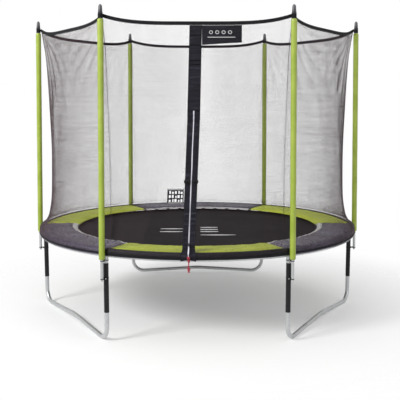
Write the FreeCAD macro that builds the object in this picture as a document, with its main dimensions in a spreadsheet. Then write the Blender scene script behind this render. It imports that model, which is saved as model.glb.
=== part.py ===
import FreeCAD, Part
import math
import os
import Sketcher
from FreeCAD import Vector, Rotation, Placement

# Backyard trampoline with a safety enclosure. Millimetres and degrees, +Z up.
# Origin: on the ground under the middle of the jumping mat.
# The door is at the front, towards -Y, and +X is the right.
# Azimuth is measured from the front, so a point at azimuth a and radius r
# is (r sin a, -r cos a).

os.makedirs("parts", exist_ok=True)
doc = FreeCAD.newDocument("trampoline")
sheet = doc.addObject("Spreadsheet::Sheet", "Sizes")

# Driving dimensions: alias, value, note
ROWS = [
    # frame ring
    ("ring_radius", 1506, "centre line of the ring tube"),
    ("ring_height", 745, "height of the ring tube's centre line"),
    ("tube_radius", 19, "outside of ring and leg tube"),
    ("tube_bore", 17.5, "inside of ring and leg tube"),
    ("spigot_radius", 17.4, "outside of a swaged end"),
    ("spigot_bore", 15.9, "inside of a swaged end"),
    ("rail_lead", 6, "degrees of rail before its leg socket"),
    ("rail_sweep", 59.97, "degrees of full tube in one rail"),
    ("spigot_sweep", 2.4, "degrees of swaged end past the rail"),
    ("spigot_lap", 0.37, "degrees of swaged end within the rail"),
    ("socket_radius", 21.5, "outside of the leg socket"),
    ("socket_bore", 19.25, "inside of the leg socket"),
    ("socket_bottom", 688, "lower rim of the leg socket"),
    ("socket_depth", 34, "depth of the leg socket"),
    ("socket_top_drop", 10, "top of the socket solid below the ring's centre line"),
    ("hook_hole_radius", 3.5, "hole for a spring hook"),
    ("hook_radius", 1497, "radius of the hook holes"),
    # legs
    ("leg_half_span", 753, "half the distance between the two uprights of a leg"),
    ("leg_plane", 1304.234, "distance of a leg's plane from the centre"),
    ("leg_bend", 120, "bend radius at a foot"),
    ("leg_crown", 300, "bend radius at the middle of a leg base"),
    ("leg_rise", 36, "how far the middle of a leg base is raised"),
    ("base_top", 236, "shoulder where an upright sits on the leg base"),
    ("base_spigot", 70, "length of the swaged end above the shoulder"),
    ("shoulder_height", 4, "height of the shoulder"),
    ("base_spigot_lap", 2, "length of the swaged end within the shoulder"),
    ("upright_bottom", 236.5, "lower end of an upright"),
    ("upright_length", 483.5, "length of an upright"),
    ("leg_sleeve_radius", 22, "outside of the leg sleeve"),
    ("leg_sleeve_bore", 19.15, "inside of the leg sleeve"),
    ("leg_sleeve_bottom", 256, "lower end of the leg sleeve"),
    ("leg_sleeve_length", 418, "length of the leg sleeve"),
    # enclosure poles
    ("pole_circle", 1560, "circle of the six poles"),
    ("pole_radius", 12.5, "outside of the pole tube"),
    ("pole_bore", 11.3, "inside of the pole tube"),
    ("pole_bottom", 528, "lower end of a pole"),
    ("pole_split", 1580, "joint between lower and upper pole"),
    ("pole_top", 2715, "upper end of a pole"),
    ("pole_spigot_radius", 11.2, "outside of the pole's swaged end"),
    ("pole_spigot_bore", 10, "inside of the pole's swaged end"),
    ("pole_spigot", 80, "length of the pole's swaged end"),
    ("pole_spigot_lap", 4, "length of the swaged end below the joint"),
    ("crimp_height", 30, "height of the pole's crimped foot"),
    ("crimp_inset", 4, "how far the crimped foot is drawn in"),
    ("foam_radius", 25, "outside of the foam sleeve"),
    ("foam_bore", 12.8, "inside of the foam sleeve"),
    ("foam_bottom", 709, "lower end of the foam sleeve"),
    ("foam_length", 1931, "length of the foam sleeve"),
    ("cap_bottom", 2676, "lower rim of a pole cap"),
    ("cap_height", 75, "height of a pole cap"),
    ("cap_radius", 20, "outside of a pole cap"),
    ("cap_bore", 12.7, "inside of a pole cap"),
    ("cap_depth", 42, "depth of the bore of a pole cap"),
    ("strap_radius", 19, "outside of the strap under a cap"),
    ("strap_bottom", 2645, "lower edge of the strap under a cap"),
    ("strap_height", 27, "height of the strap under a cap"),
    ("pole_lean", 1, "degrees that each pole leans inwards"),
    ("lean_height", 700, "height of the point about which a pole leans"),
    # pole clamps
    ("clamp_low", 541, "lower edge of the lower clamp"),
    ("clamp_high", 692, "lower edge of the upper clamp"),
    ("clamp_height", 14, "height of a clamp"),
    ("clamp_wall", 4, "wall of a clamp"),
    ("clamp_gap", 0.1, "clearance of a clamp round its tubes"),
    ("bolt_radius", 3, "clamp bolt shank"),
    ("bolt_hole", 3.3, "hole for a clamp bolt"),
    ("bolt_circle", 1537.8, "radius at which the clamp bolts sit"),
    ("bolt_grip", 20, "half length of the clamp block along the bolt"),
    ("web_inset", 4, "how far each end of the web falls short of the grip"),
    ("shank_start", -17, "end of the shank at the bolt head"),
    ("shank_length", 42, "length of the shank"),
    ("hex_flats", 10, "bolt head and nut across flats"),
    ("head_start", -20.2, "outer face of the bolt head"),
    ("head_height", 4, "height of the bolt head"),
    ("nut_start", 16.2, "inner face of the nut"),
    ("nut_height", 5, "height of the nut"),
    ("nut_gap", 0.1, "clearance of the nut round its shank"),
    # mat, tabs and V-rings
    ("mat_radius", 1298, "edge of the jumping mat"),
    ("mat_thick", 2.5, "thickness of the jumping mat"),
    ("mat_bottom", 749.5, "underside of the jumping mat"),
    ("tab_width", 22, "width of a webbing tab"),
    ("tab_length", 26, "radial length of a webbing tab"),
    ("tab_height", 11, "height of a webbing tab"),
    ("tab_reach", 27, "outer end of a tab past the mat's edge"),
    ("tab_drop", 4, "underside of a tab below the mat"),
    ("tab_hole_radius", 2.6, "hole through a tab for the V-ring"),
    ("vring_base", 19, "base of a V-ring past the mat's edge"),
    ("vring_point", 60, "point of a V-ring past the mat's edge"),
    ("vring_half", 22, "half width of a V-ring's base"),
    ("vring_rise", 1.5, "V-ring's centre line above the mat's underside"),
    ("vring_corner", 5, "bend radius of a V-ring"),
    ("vring_wire", 2, "wire radius of a V-ring"),
    # springs
    ("spring_pitch", 6, "degrees between springs"),
    ("spring_radius", 10.5, "outside of a spring coil"),
    ("spring_start", 1376, "inner end of a spring coil"),
    ("spring_length", 98, "length of a spring coil"),
    ("spring_height", 752, "height of a spring's axis"),
    ("wire_radius", 1.7, "spring hook wire"),
    ("hook_rise", 21.3, "outer hook above the ring's centre line"),
    ("hook_tip", 4, "end of the outer hook above the ring's centre line"),
    ("hook_lap", 4, "length of the outer hook within the coil"),
    ("inner_hook_reach", 28.5, "inner hook past the coil"),
    ("inner_hook_lap", 2, "length of the inner hook within the coil"),
    ("inner_hook_rise", 6, "inner hook above the spring's axis"),
    ("inner_hook_dip", 8, "end of the inner hook below the spring's axis"),
    ("riser_height", 14, "wire that rises from the coil's axis to the outer hook"),
    # pad
    ("pad_inner", 1165, "inner edge of the spring pad"),
    ("pad_outer", 1528.5, "outer edge of the spring pad"),
    ("pad_bottom", 772, "underside of the spring pad"),
    ("pad_top", 800, "top of the spring pad"),
    ("skirt_bottom", 741, "lower edge of the pad's skirt"),
    ("skirt_thick", 1.8, "thickness of the skirt"),
    ("pad_sweep", 59.92, "degrees of one pad segment"),
    # net
    ("net_bottom", 752, "lower edge of the net"),
    ("net_thick", 1.2, "thickness of the net"),
    ("band_corner", 2666, "height of the top band at a pole"),
    ("band_sag", 62, "sag of the top band between poles"),
    ("band_height", 24, "height of the top band"),
    ("band_thick", 3, "thickness of the top band"),
    # door
    ("door_bottom", 836, "lower edge of the door flaps"),
    ("door_top", 1865, "upper edge of the door flaps"),
    ("door_low_reach", 1470, "distance of the door plane from the centre at its foot"),
    ("door_high_reach", 1376, "distance of the door plane from the centre at its head"),
    ("door_half", 450, "half width of the door at its foot"),
    ("door_half_top", 58, "half width of the door at its head"),
    ("strip_half", 50, "half width of the two door strips together"),
    ("zip_half", 5.6, "half width of the zip"),
    ("zip_foot", -70, "sideways place of the zip at the door's foot"),
    ("zip_head", -28, "sideways place of the zip at the door's head"),
    ("zip_crown", -12, "sideways place of the header strip under the top band"),
    ("slider_width", 15, "width of the zip slider"),
    ("slider_depth", 7, "depth of the zip slider"),
    ("slider_height", 30, "height of the zip slider"),
    ("eye_width", 9, "width of the slider's eye"),
    ("eye_depth", 6, "depth of the slider's eye"),
    ("eye_height", 10, "height of the slider's eye"),
    ("cord_radius", 3, "zip pull cord"),
    ("knot_radius", 6, "knot in the pull cord"),
]
for i, (alias, value, note) in enumerate(ROWS, 1):
    sheet.set(f"A{i}", alias)
    sheet.set(f"B{i}", str(value))
    sheet.set(f"C{i}", note)
    sheet.setAlias(f"B{i}", alias)
doc.recompute()
SIZE = {alias: float(getattr(sheet, alias)) for alias, _, _ in ROWS}

BAY = 60  # degrees between poles
HALF_BAY = BAY / 2
LEGS = [-150, -90, -30, 30, 90, 150]  # azimuths of legs and poles
PITCH = SIZE["spring_pitch"]
SPRINGS = [PITCH / 2 + PITCH * i for i in range(round(360 / PITCH))]
UP = Vector(0, 0, 1)
ALONG_X = Placement(Vector(), Rotation(Vector(0, 1, 0), 90))
FORWARD = Placement(Vector(), Rotation(Vector(1, 0, 0), 90))  # turns +Z to -Y
# each pole leans inwards about a point beside the ring
LEAN = Placement(Vector(), Rotation(Vector(1, 0, 0), -SIZE["pole_lean"]),
                 Vector(0, -SIZE["pole_circle"], SIZE["lean_height"]))
nodes = {}  # label -> object to export


# ---- placing and naming ----
def node(obj, label):
    obj.Label = label
    nodes[label] = obj
    return obj


def feature(label, shape):
    obj = doc.addObject("Part::Feature", label)
    obj.Shape = shape
    return node(obj, label)


def group(label, shapes):
    """Identical pieces share one node as separate solids."""
    return feature(label, Part.makeCompound(shapes))


def point(azimuth, radius, z):
    angle = math.radians(azimuth)
    return Vector(radius * math.sin(angle), -radius * math.cos(angle), z)


def turn(azimuth):
    return Placement(Vector(), Rotation(UP, azimuth))


def leaned(shape):
    copy = shape.copy()
    copy.Placement = LEAN.multiply(copy.Placement)
    return copy


def spun(shape, azimuths):
    copies = []
    for azimuth in azimuths:
        copy = shape.copy()
        copy.rotate(Vector(), UP, azimuth)
        copies.append(copy)
    return copies


def span(first, last, count):
    return [first + (last - first) * i / (count - 1) for i in range(count)]


# ---- Part primitives driven by expressions ----
def primitive(kind, name, placement=Placement(), x=None, y=None, z=None, **sizes):
    obj = doc.addObject("Part::" + kind, name)
    obj.Placement = placement
    for prop, expr in sizes.items():
        obj.setExpression(prop, expr)
    for axis, expr in (("x", x), ("y", y), ("z", z)):
        if expr:
            obj.setExpression("Placement.Base." + axis, expr)
    return obj


def cylinder(name, radius, height, **place):
    return primitive("Cylinder", name, Radius=radius, Height=height, **place)


def fuse(name, shapes):
    obj = doc.addObject("Part::MultiFuse", name)
    obj.Shapes = shapes
    return obj


def cut(name, base, tool):
    obj = doc.addObject("Part::Cut", name)
    obj.Base, obj.Tool = base, tool
    return obj


# ---- PartDesign bodies and sketches ----
def new_body(name):
    return doc.addObject("PartDesign::Body", name)


def sketch(body, name, role="XY_Plane", offset=None):
    """Sketch on an origin plane; offset is an expression along its normal."""
    new = body.newObject("Sketcher::SketchObject", name)
    plane = [f for f in body.Origin.OriginFeatures if f.Role == role][0]
    new.AttachmentSupport = [(plane, "")]
    new.MapMode = "FlatFace"
    if offset:
        new.setExpression("AttachmentOffset.Base.z", offset)
    return new


def constrain(target, expr, *args):
    index = target.addConstraint(Sketcher.Constraint(*args))
    target.setExpression(f"Constraints[{index}]", expr)


def circle(target, radius, x, y):
    """Circle whose radius is bound to an alias."""
    geo = target.addGeometry(Part.Circle(Vector(x, y, 0), UP, SIZE[radius]), False)
    constrain(target, "Sizes." + radius, "Radius", geo, SIZE[radius])
    return geo


def pad(body, name, profile, length):
    new = body.newObject("PartDesign::Pad", name)
    new.Profile = profile
    new.setExpression("Length", length)


def revolve(body, name, profile, angle):
    new = body.newObject("PartDesign::Revolution", name)
    new.Profile = profile
    new.ReferenceAxis = (profile, ["V_Axis"])
    new.setExpression("Angle", angle)


def tube(name, outer, inner, reach, bottom, length):
    """Straight tube standing at the front; all aliases but length, an expression."""
    body = new_body(name)
    section = sketch(body, name + "_section", offset="Sizes." + bottom)
    for radius in (outer, inner):
        geo = circle(section, radius, 0, -SIZE[reach])
        section.addConstraint(Sketcher.Constraint("PointOnObject", geo, 3, -2))
        # the centre lies on -Y, so its distance is stated upwards to the origin
        constrain(section, "Sizes." + reach, "DistanceY", geo, 3, -1, 1, SIZE[reach])
    pad(body, name + "_pad", section, length)
    return body


# ---- frame rails: curved tube, swaged at one end, with a leg socket ----
def torus(name, minor, start, sweep):
    """Arc of tube on the ring's centre line, from azimuth start."""
    return primitive("Torus", name, turn(start - 90), z="Sizes.ring_height",
                     Radius1="Sizes.ring_radius", Radius2=minor, Angle3=sweep)


def frame_rail(name, leg):
    start = leg - SIZE["rail_lead"]
    spigot_start = start + SIZE["rail_sweep"] - SIZE["spigot_lap"]
    at_socket = Placement(point(leg, SIZE["ring_radius"], 0), Rotation())
    outer = fuse(name + "_outer", [
        torus(name + "_tube", "Sizes.tube_radius", start, "Sizes.rail_sweep"),
        torus(name + "_swage", "Sizes.spigot_radius", spigot_start,
              "Sizes.spigot_sweep + Sizes.spigot_lap"),
        cylinder(name + "_socket", "Sizes.socket_radius",
                 "Sizes.ring_height - Sizes.socket_bottom - Sizes.socket_top_drop",
                 placement=at_socket, z="Sizes.socket_bottom"),
    ])
    # the bores overshoot both open ends and meet near the swage
    bore_lead, bore_short = 0.1, 0.17
    swage_bore_lead, swage_bore_extra = 0.2, 0.8
    tools = [
        torus(name + "_bore", "Sizes.tube_bore", start - bore_lead,
              f"Sizes.rail_sweep - {bore_short}"),
        torus(name + "_swage_bore", "Sizes.spigot_bore", spigot_start - swage_bore_lead,
              f"Sizes.spigot_sweep + {swage_bore_extra}"),
        cylinder(name + "_socket_bore", "Sizes.socket_bore", "Sizes.socket_depth + 1",
                 placement=at_socket, z="Sizes.socket_bottom - 1"),
    ]
    # hook holes go through the upper wall only
    for j in range(round(BAY / PITCH)):
        spot = point(leg - PITCH / 2 + PITCH * j, SIZE["hook_radius"], 0)
        tools.append(cylinder(f"{name}_hole_{j}", "Sizes.hook_hole_radius", "40",
                              placement=Placement(spot, Rotation()), z="Sizes.ring_height"))
    node(cut(name, outer, fuse(name + "_hollow", tools)), name)


for k, leg in enumerate(LEGS, 1):
    frame_rail(f"frame_rail_{k}", leg)


# ---- leg bases: one bent tube per pair of uprights, raised in the middle ----
def mirrored(v):
    return Vector(-v.x, v.y, 0)


def leg_path(body, name):
    """Centre line of a leg base, from the right shoulder to the left one."""
    half_span, bend, crown = SIZE["leg_half_span"], SIZE["leg_bend"], SIZE["leg_crown"]
    # slope of the base from the end of the foot bend to the middle
    slope = math.atan2(SIZE["leg_rise"], half_span - bend)
    # foot bend: centre inside the upright, lowest point one tube radius up
    centre_x = half_span - bend
    centre_z = SIZE["tube_radius"] + bend
    half_turn = math.pi / 4 + slope / 2
    top = Vector(half_span, SIZE["base_top"], 0)
    bend_top = Vector(half_span, centre_z, 0)
    bend_mid = Vector(centre_x + bend * math.cos(half_turn),
                      centre_z - bend * math.sin(half_turn), 0)
    bend_end = Vector(centre_x - bend * math.sin(slope),
                      centre_z - bend * math.cos(slope), 0)
    # crown bend: tangent to both slopes
    crown_x = crown * math.sin(slope)
    crown_end = Vector(crown_x, bend_end.y + (bend_end.x - crown_x) * math.tan(slope), 0)
    apex = Vector(0, crown_end.y + crown * (1 - math.cos(slope)), 0)
    path = sketch(body, name + "_path", "XZ_Plane", "Sizes.leg_plane")
    ids = [path.addGeometry(geo, False) for geo in (
        Part.LineSegment(top, bend_top),
        Part.Arc(bend_top, bend_mid, bend_end),
        Part.LineSegment(bend_end, crown_end),
        Part.Arc(crown_end, apex, mirrored(crown_end)),
        Part.LineSegment(mirrored(crown_end), mirrored(bend_end)),
        Part.Arc(mirrored(bend_end), mirrored(bend_mid), mirrored(bend_top)),
        Part.LineSegment(mirrored(bend_top), mirrored(top)),
    )]
    for foot in (ids[1], ids[5]):
        constrain(path, "Sizes.leg_bend", "Radius", foot, bend)
    return path


def leg_base(name, azimuth):
    half_span = SIZE["leg_half_span"]
    body = new_body(name)
    path = leg_path(body, name)

    def section(suffix, radii, sides, offset):
        new = sketch(body, name + suffix, offset=offset)
        for side in sides:
            for radius in radii:
                circle(new, radius, side * half_span, -SIZE["leg_plane"])
        return new

    for kind, suffix, section_suffix, radius in (
        ("Additive", "_tube", "_section", "tube_radius"),
        ("Subtractive", "_bore", "_bore_section", "tube_bore"),
    ):
        pipe = body.newObject(f"PartDesign::{kind}Pipe", name + suffix)
        pipe.Profile = section(section_suffix, [radius], [1], "Sizes.base_top")
        pipe.Spine = path
        doc.recompute()
    shoulder = section("_shoulder_section", ["tube_radius", "spigot_bore"], [1, -1],
                       "Sizes.base_top - Sizes.shoulder_height")
    pad(body, name + "_shoulder", shoulder, "Sizes.shoulder_height")
    swage = section("_swage_section", ["spigot_radius", "spigot_bore"], [1, -1],
                    "Sizes.base_top - Sizes.base_spigot_lap")
    pad(body, name + "_swage", swage, "Sizes.base_spigot + Sizes.base_spigot_lap")
    body.Placement = turn(azimuth)
    node(body, name)


for name, azimuth in (("leg_base_left", -60), ("leg_base_right", 60), ("leg_base_back", 180)):
    leg_base(name, azimuth)


# ---- poles ----
def on_pole(name, radius, height, z):
    return cylinder(name, radius, height, y="-Sizes.pole_circle", z=z)


def lower_pole():
    """Crimped foot, plain tube and swaged head; the end bores overshoot."""
    plain = on_pole("pole_low_out", "Sizes.pole_radius",
                    "Sizes.pole_split - Sizes.pole_bottom - Sizes.crimp_height",
                    "Sizes.pole_bottom + Sizes.crimp_height")
    foot = primitive("Cone", "pole_low_foot", Radius1="Sizes.pole_radius - Sizes.crimp_inset",
                     Radius2="Sizes.pole_radius", Height="Sizes.crimp_height",
                     y="-Sizes.pole_circle", z="Sizes.pole_bottom")
    swage = on_pole("pole_low_swage", "Sizes.pole_spigot_radius",
                    "Sizes.pole_spigot + Sizes.pole_spigot_lap",
                    "Sizes.pole_split - Sizes.pole_spigot_lap")
    bore = on_pole(
        "pole_low_bore", "Sizes.pole_bore",
        "Sizes.pole_split - Sizes.pole_bottom - Sizes.crimp_height - Sizes.pole_spigot_lap",
        "Sizes.pole_bottom + Sizes.crimp_height")
    foot_bore = on_pole("pole_low_foot_bore", "Sizes.pole_bore - Sizes.crimp_inset",
                        "Sizes.crimp_height + 2", "Sizes.pole_bottom - 1")
    swage_bore = on_pole("pole_low_swage_bore", "Sizes.pole_spigot_bore",
                         "Sizes.pole_spigot + 10",
                         "Sizes.pole_split - Sizes.pole_spigot_lap - 2")
    return cut("pole_low", fuse("pole_low_solid", [plain, foot, swage]),
               fuse("pole_low_hollow", [bore, foot_bore, swage_bore]))


def pole_cap():
    """Bullet-shaped cap turned from a half section."""
    body = new_body("pole_cap")
    section = sketch(body, "pole_cap_section", "XZ_Plane")
    radius, bore, bottom = SIZE["cap_radius"], SIZE["cap_bore"], SIZE["cap_bottom"]
    top, bore_top = bottom + SIZE["cap_height"], bottom + SIZE["cap_depth"]
    # rim with a chamfer below and a step in above
    rim = [Vector(bore, bottom), Vector(radius - 2, bottom), Vector(radius, bottom + 3),
           Vector(radius, bottom + 9), Vector(radius - 2.5, bottom + 12)]
    flank, nose = Vector(radius - 3.6, bottom + 32), Vector(radius - 5.2, bottom + 48)
    nose_bulge, tip = Vector(radius * 0.52, top - 6.5), Vector(3, top)
    inside = [tip, Vector(0, top), Vector(0, bore_top), Vector(bore, bore_top), rim[0]]
    geometry = [Part.LineSegment(p, q) for p, q in zip(rim, rim[1:])]
    geometry += [Part.Arc(rim[-1], flank, nose), Part.Arc(nose, nose_bulge, tip)]
    geometry += [Part.LineSegment(p, q) for p, q in zip(inside, inside[1:])]
    for geo in geometry:
        section.addGeometry(geo, False)
    revolve(body, "pole_cap_turned", section, "360")
    body.Placement = Placement(Vector(0, -SIZE["pole_circle"], 0), Rotation())
    return body


upright = tube("leg_upright", "tube_radius", "tube_bore", "ring_radius", "upright_bottom",
               "Sizes.upright_length")
leg_sleeve = tube("leg_sleeve", "leg_sleeve_radius", "leg_sleeve_bore", "ring_radius",
                  "leg_sleeve_bottom", "Sizes.leg_sleeve_length")
pole_low = lower_pole()
pole_up = tube("pole_up", "pole_radius", "pole_bore", "pole_circle", "pole_split",
               "Sizes.pole_top - Sizes.pole_split")
strap = tube("cap_strap", "strap_radius", "foam_bore", "pole_circle", "strap_bottom",
             "Sizes.strap_height")
cap = pole_cap()
doc.recompute()
group("leg_uprights", spun(upright.Shape, LEGS))
group("leg_sleeves", spun(leg_sleeve.Shape, LEGS))
for label, piece in (("pole_lower_tubes", pole_low), ("pole_upper_tubes", pole_up),
                     ("pole_caps", cap), ("cap_straps", strap)):
    group(label, spun(leaned(piece.Shape), LEGS))
for k, leg in enumerate(LEGS, 1):
    foam = tube(f"foam_sleeve_{k}", "foam_radius", "foam_bore", "pole_circle", "foam_bottom",
                "Sizes.foam_length")
    foam.Placement = turn(leg).multiply(LEAN)
    node(foam, f"foam_sleeve_{k}")


# ---- pole clamps: a block around leg and pole, drawn up by one bolt ----
def clamp(name, leg_radius, level):
    """leg_radius and level are aliases; the bores overshoot the block."""
    bottom = "Sizes." + level

    def on_lean(z):
        return LEAN.multiply(Placement(Vector(0, -SIZE["pole_circle"], z), Rotation()))

    solid = [
        cylinder(name + "_leg_ring", f"Sizes.{leg_radius} + Sizes.clamp_wall",
                 "Sizes.clamp_height", y="-Sizes.ring_radius", z=bottom),
        cylinder(name + "_pole_ring", "Sizes.pole_radius + Sizes.clamp_wall",
                 "Sizes.clamp_height", placement=on_lean(SIZE[level])),
        primitive("Box", name + "_web", Length="2 * (Sizes.bolt_grip - Sizes.web_inset)",
                  Width="Sizes.pole_circle - Sizes.ring_radius", Height="Sizes.clamp_height",
                  x="Sizes.web_inset - Sizes.bolt_grip", y="-Sizes.pole_circle", z=bottom),
    ]
    hollow = [
        cylinder(name + "_leg_bore", f"Sizes.{leg_radius} + Sizes.clamp_gap",
                 "Sizes.clamp_height + 2", y="-Sizes.ring_radius", z=bottom + " - 1"),
        cylinder(name + "_pole_bore", "Sizes.pole_radius + Sizes.clamp_gap",
                 "Sizes.clamp_height + 4", placement=on_lean(SIZE[level] - 2)),
        cylinder(name + "_bolt_hole", "Sizes.bolt_hole", "60", placement=ALONG_X, x="-30",
                 y="-Sizes.bolt_circle", z=bottom + " + Sizes.clamp_height / 2"),
    ]
    return cut(name, fuse(name + "_solid", solid), fuse(name + "_hollow", hollow))


def hexagon(name, start, height, z):
    prism = primitive("Prism", name, ALONG_X, Height=height,
                      x=start, y="-Sizes.bolt_circle", z=z)
    prism.Polygon = 6
    prism.Circumradius = SIZE["hex_flats"] / 2 / math.cos(math.pi / 6)
    return prism


def bolt_and_nut(level):
    z = f"Sizes.{level} + Sizes.clamp_height / 2"
    on_bolt = {"placement": ALONG_X, "y": "-Sizes.bolt_circle", "z": z}
    shank = cylinder(level + "_shank", "Sizes.bolt_radius", "Sizes.shank_length",
                     x="Sizes.shank_start", **on_bolt)
    head = hexagon(level + "_head", "Sizes.head_start", "Sizes.head_height", z)
    bolt = fuse(level + "_bolt", [shank, head])
    blank = hexagon(level + "_nut_hex", "Sizes.nut_start", "Sizes.nut_height", z)
    # the bore overshoots both faces of the nut
    bore = cylinder(level + "_nut_bore", "Sizes.bolt_radius + Sizes.nut_gap", "10",
                    x="14", **on_bolt)
    return bolt, cut(level + "_nut", blank, bore)


clamp_low = clamp("clamp_low_block", "leg_sleeve_radius", "clamp_low")
clamp_high = clamp("clamp_high_block", "socket_radius", "clamp_high")
bolts, nuts = zip(bolt_and_nut("clamp_low"), bolt_and_nut("clamp_high"))
doc.recompute()
group("pole_clamps_lower", spun(clamp_low.Shape, LEGS))
group("pole_clamps_upper", spun(clamp_high.Shape, LEGS))
group("clamp_bolts", [copy for bolt in bolts for copy in spun(bolt.Shape, LEGS)])
group("clamp_nuts", [copy for nut in nuts for copy in spun(nut.Shape, LEGS)])


# ---- jumping mat with webbing tabs and V-rings ----
def jumping_mat():
    body = new_body("mat_body")
    outline = sketch(body, "mat_outline", offset="Sizes.mat_bottom")
    geo = circle(outline, "mat_radius", 0, 0)
    for direction in ("DistanceX", "DistanceY"):
        outline.addConstraint(Sketcher.Constraint(direction, -1, 1, geo, 3, 0.0))
    pad(body, "mat_pad", outline, "Sizes.mat_thick")
    node(body, "jumping_mat")


def webbing_tab():
    block = primitive("Box", "tab_block", Length="Sizes.tab_width", Width="Sizes.tab_length",
                      Height="Sizes.tab_height", x="-Sizes.tab_width / 2",
                      y="-Sizes.mat_radius - Sizes.tab_reach",
                      z="Sizes.mat_bottom - Sizes.tab_drop")
    hole = cylinder("tab_hole", "Sizes.tab_hole_radius", "60", placement=ALONG_X, x="-30",
                    y="-Sizes.mat_radius - Sizes.vring_base",
                    z="Sizes.mat_bottom + Sizes.vring_rise")
    return cut("tab", block, hole)


def rounded(corners, radius):
    """Closed wire through the corners, each rounded with the radius."""
    arcs = []
    for i, corner in enumerate(corners):
        back = (corners[i - 1] - corner).normalize()
        ahead = (corners[(i + 1) % len(corners)] - corner).normalize()
        half = back.getAngle(ahead) / 2
        setback = radius / math.tan(half)
        centre = corner + (back + ahead).normalize() * (radius / math.sin(half))
        middle = centre + (corner - centre).normalize() * radius
        arcs.append((corner + back * setback, middle, corner + ahead * setback))
    edges = []
    for i, arc in enumerate(arcs):
        edges.append(Part.Arc(*arc).toShape())
        edges.append(Part.LineSegment(arc[2], arcs[(i + 1) % len(arcs)][0]).toShape())
    return Part.Wire(edges)


def v_ring():
    """Closed wire triangle, its base through the tab and its point outwards."""
    base_y = -(SIZE["mat_radius"] + SIZE["vring_base"])
    point_y = -(SIZE["mat_radius"] + SIZE["vring_point"])
    half, z = SIZE["vring_half"], SIZE["mat_bottom"] + SIZE["vring_rise"]
    corners = [Vector(-half, base_y, z), Vector(half, base_y, z), Vector(0, point_y, z)]
    loop = rounded(corners, SIZE["vring_corner"])
    first = loop.Edges[0]
    start = first.valueAt(first.FirstParameter)
    tangent = first.tangentAt(first.FirstParameter)
    section = Part.Wire([Part.makeCircle(SIZE["vring_wire"], start, tangent)])
    return loop.makePipeShell([section], True, True)


jumping_mat()
tab = webbing_tab()
doc.recompute()
group("mat_webbing_tabs", spun(tab.Shape, SPRINGS))
group("mat_v_rings", spun(v_ring(), SPRINGS))


# ---- springs: coil envelope with a hook at each end ----
def make_spring():
    wire = "Sizes.wire_radius"
    coil_end = "-Sizes.spring_start - Sizes.spring_length"
    hook_z = "Sizes.ring_height + Sizes.hook_rise"
    inner_y = "-Sizes.spring_start + Sizes.inner_hook_reach"
    inner_z = "Sizes.spring_height + Sizes.inner_hook_rise"
    return fuse("spring", [
        cylinder("coil", "Sizes.spring_radius", "Sizes.spring_length", placement=FORWARD,
                 y="-Sizes.spring_start", z="Sizes.spring_height"),
        cylinder("hook_out", wire, "Sizes.hook_radius - Sizes.spring_start"
                 " - Sizes.spring_length + Sizes.hook_lap", placement=FORWARD,
                 y=coil_end + " + Sizes.hook_lap", z=hook_z),
        cylinder("hook_out_tip", wire, "Sizes.hook_rise - Sizes.hook_tip",
                 y="-Sizes.hook_radius", z="Sizes.ring_height + Sizes.hook_tip"),
        primitive("Sphere", "hook_elbow", Radius=wire, y="-Sizes.hook_radius", z=hook_z),
        cylinder("hook_end", wire, "Sizes.riser_height", y=coil_end + " + 1",
                 z="Sizes.spring_height + 1"),
        cylinder("hook_in", wire, "Sizes.inner_hook_reach + Sizes.inner_hook_lap",
                 placement=FORWARD, y=inner_y, z=inner_z),
        cylinder("hook_in_tip", wire, "Sizes.inner_hook_rise + Sizes.inner_hook_dip",
                 y=inner_y, z="Sizes.spring_height - Sizes.inner_hook_dip"),
        primitive("Sphere", "hook_in_elbow", Radius=wire, y=inner_y, z=inner_z),
    ])


spring = make_spring()
doc.recompute()
group("springs", spun(spring.Shape, SPRINGS))


# ---- spring pad: six segments, each with its hanging skirt ----
def pad_segment(name, start):
    body = new_body(name)
    section = sketch(body, name + "_section", "XZ_Plane")
    inner, outer = SIZE["pad_inner"], SIZE["pad_outer"]
    bottom, top, skirt_bottom = SIZE["pad_bottom"], SIZE["pad_top"], SIZE["skirt_bottom"]
    skirt_inner = outer - SIZE["skirt_thick"]
    edge_drop = 14  # height of each rounded upper edge, also of the inner wall
    inner_wall_top = Vector(inner, bottom + edge_drop)
    inner_round, top_start = Vector(inner + 5.3, top - 4.1), Vector(inner + 18, top)
    top_end, outer_round = Vector(outer - 26, top), Vector(outer - 8, top - 4.4)
    # outer wall, skirt and underside, back to the inner edge
    below = [Vector(outer, top - edge_drop), Vector(outer, skirt_bottom),
             Vector(skirt_inner, skirt_bottom), Vector(skirt_inner, bottom),
             Vector(inner, bottom)]
    geometry = [
        Part.LineSegment(below[-1], inner_wall_top),
        Part.Arc(inner_wall_top, inner_round, top_start),
        Part.LineSegment(top_start, top_end),
        Part.Arc(top_end, outer_round, below[0]),
    ] + [Part.LineSegment(p, q) for p, q in zip(below, below[1:])]
    for geo in geometry:
        section.addGeometry(geo, False)
    constrain(section, "Sizes.pad_outer", "DistanceX", -1, 1, 4, 1, outer)
    revolve(body, name + "_turned", section, "Sizes.pad_sweep")
    # half of the gap between segments falls at each end
    body.Placement = turn(start - 90 + (BAY - SIZE["pad_sweep"]) / 2)
    node(body, name)


for k, word in enumerate(("front", "front_right", "back_right", "back", "back_left",
                          "front_left")):
    pad_segment("pad_" + word, BAY * k - HALF_BAY)
doc.recompute()


# ---- thin sheets between two curved surfaces ----
def surface(grid):
    """Cubic surface with the grid as its control points, so it never overshoots them."""
    def knots(count, degree):
        values = list(range(count - degree + 1))
        return values, [degree + 1] + [1] * (len(values) - 2) + [degree + 1]

    degree_u, degree_v = min(3, len(grid) - 1), min(3, len(grid[0]) - 1)
    knots_u, mults_u = knots(len(grid), degree_u)
    knots_v, mults_v = knots(len(grid[0]), degree_v)
    result = Part.BSplineSurface()
    result.buildFromPolesMultsKnots(grid, mults_u, mults_v, knots_u, knots_v,
                                    False, False, degree_u, degree_v)
    return result


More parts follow.
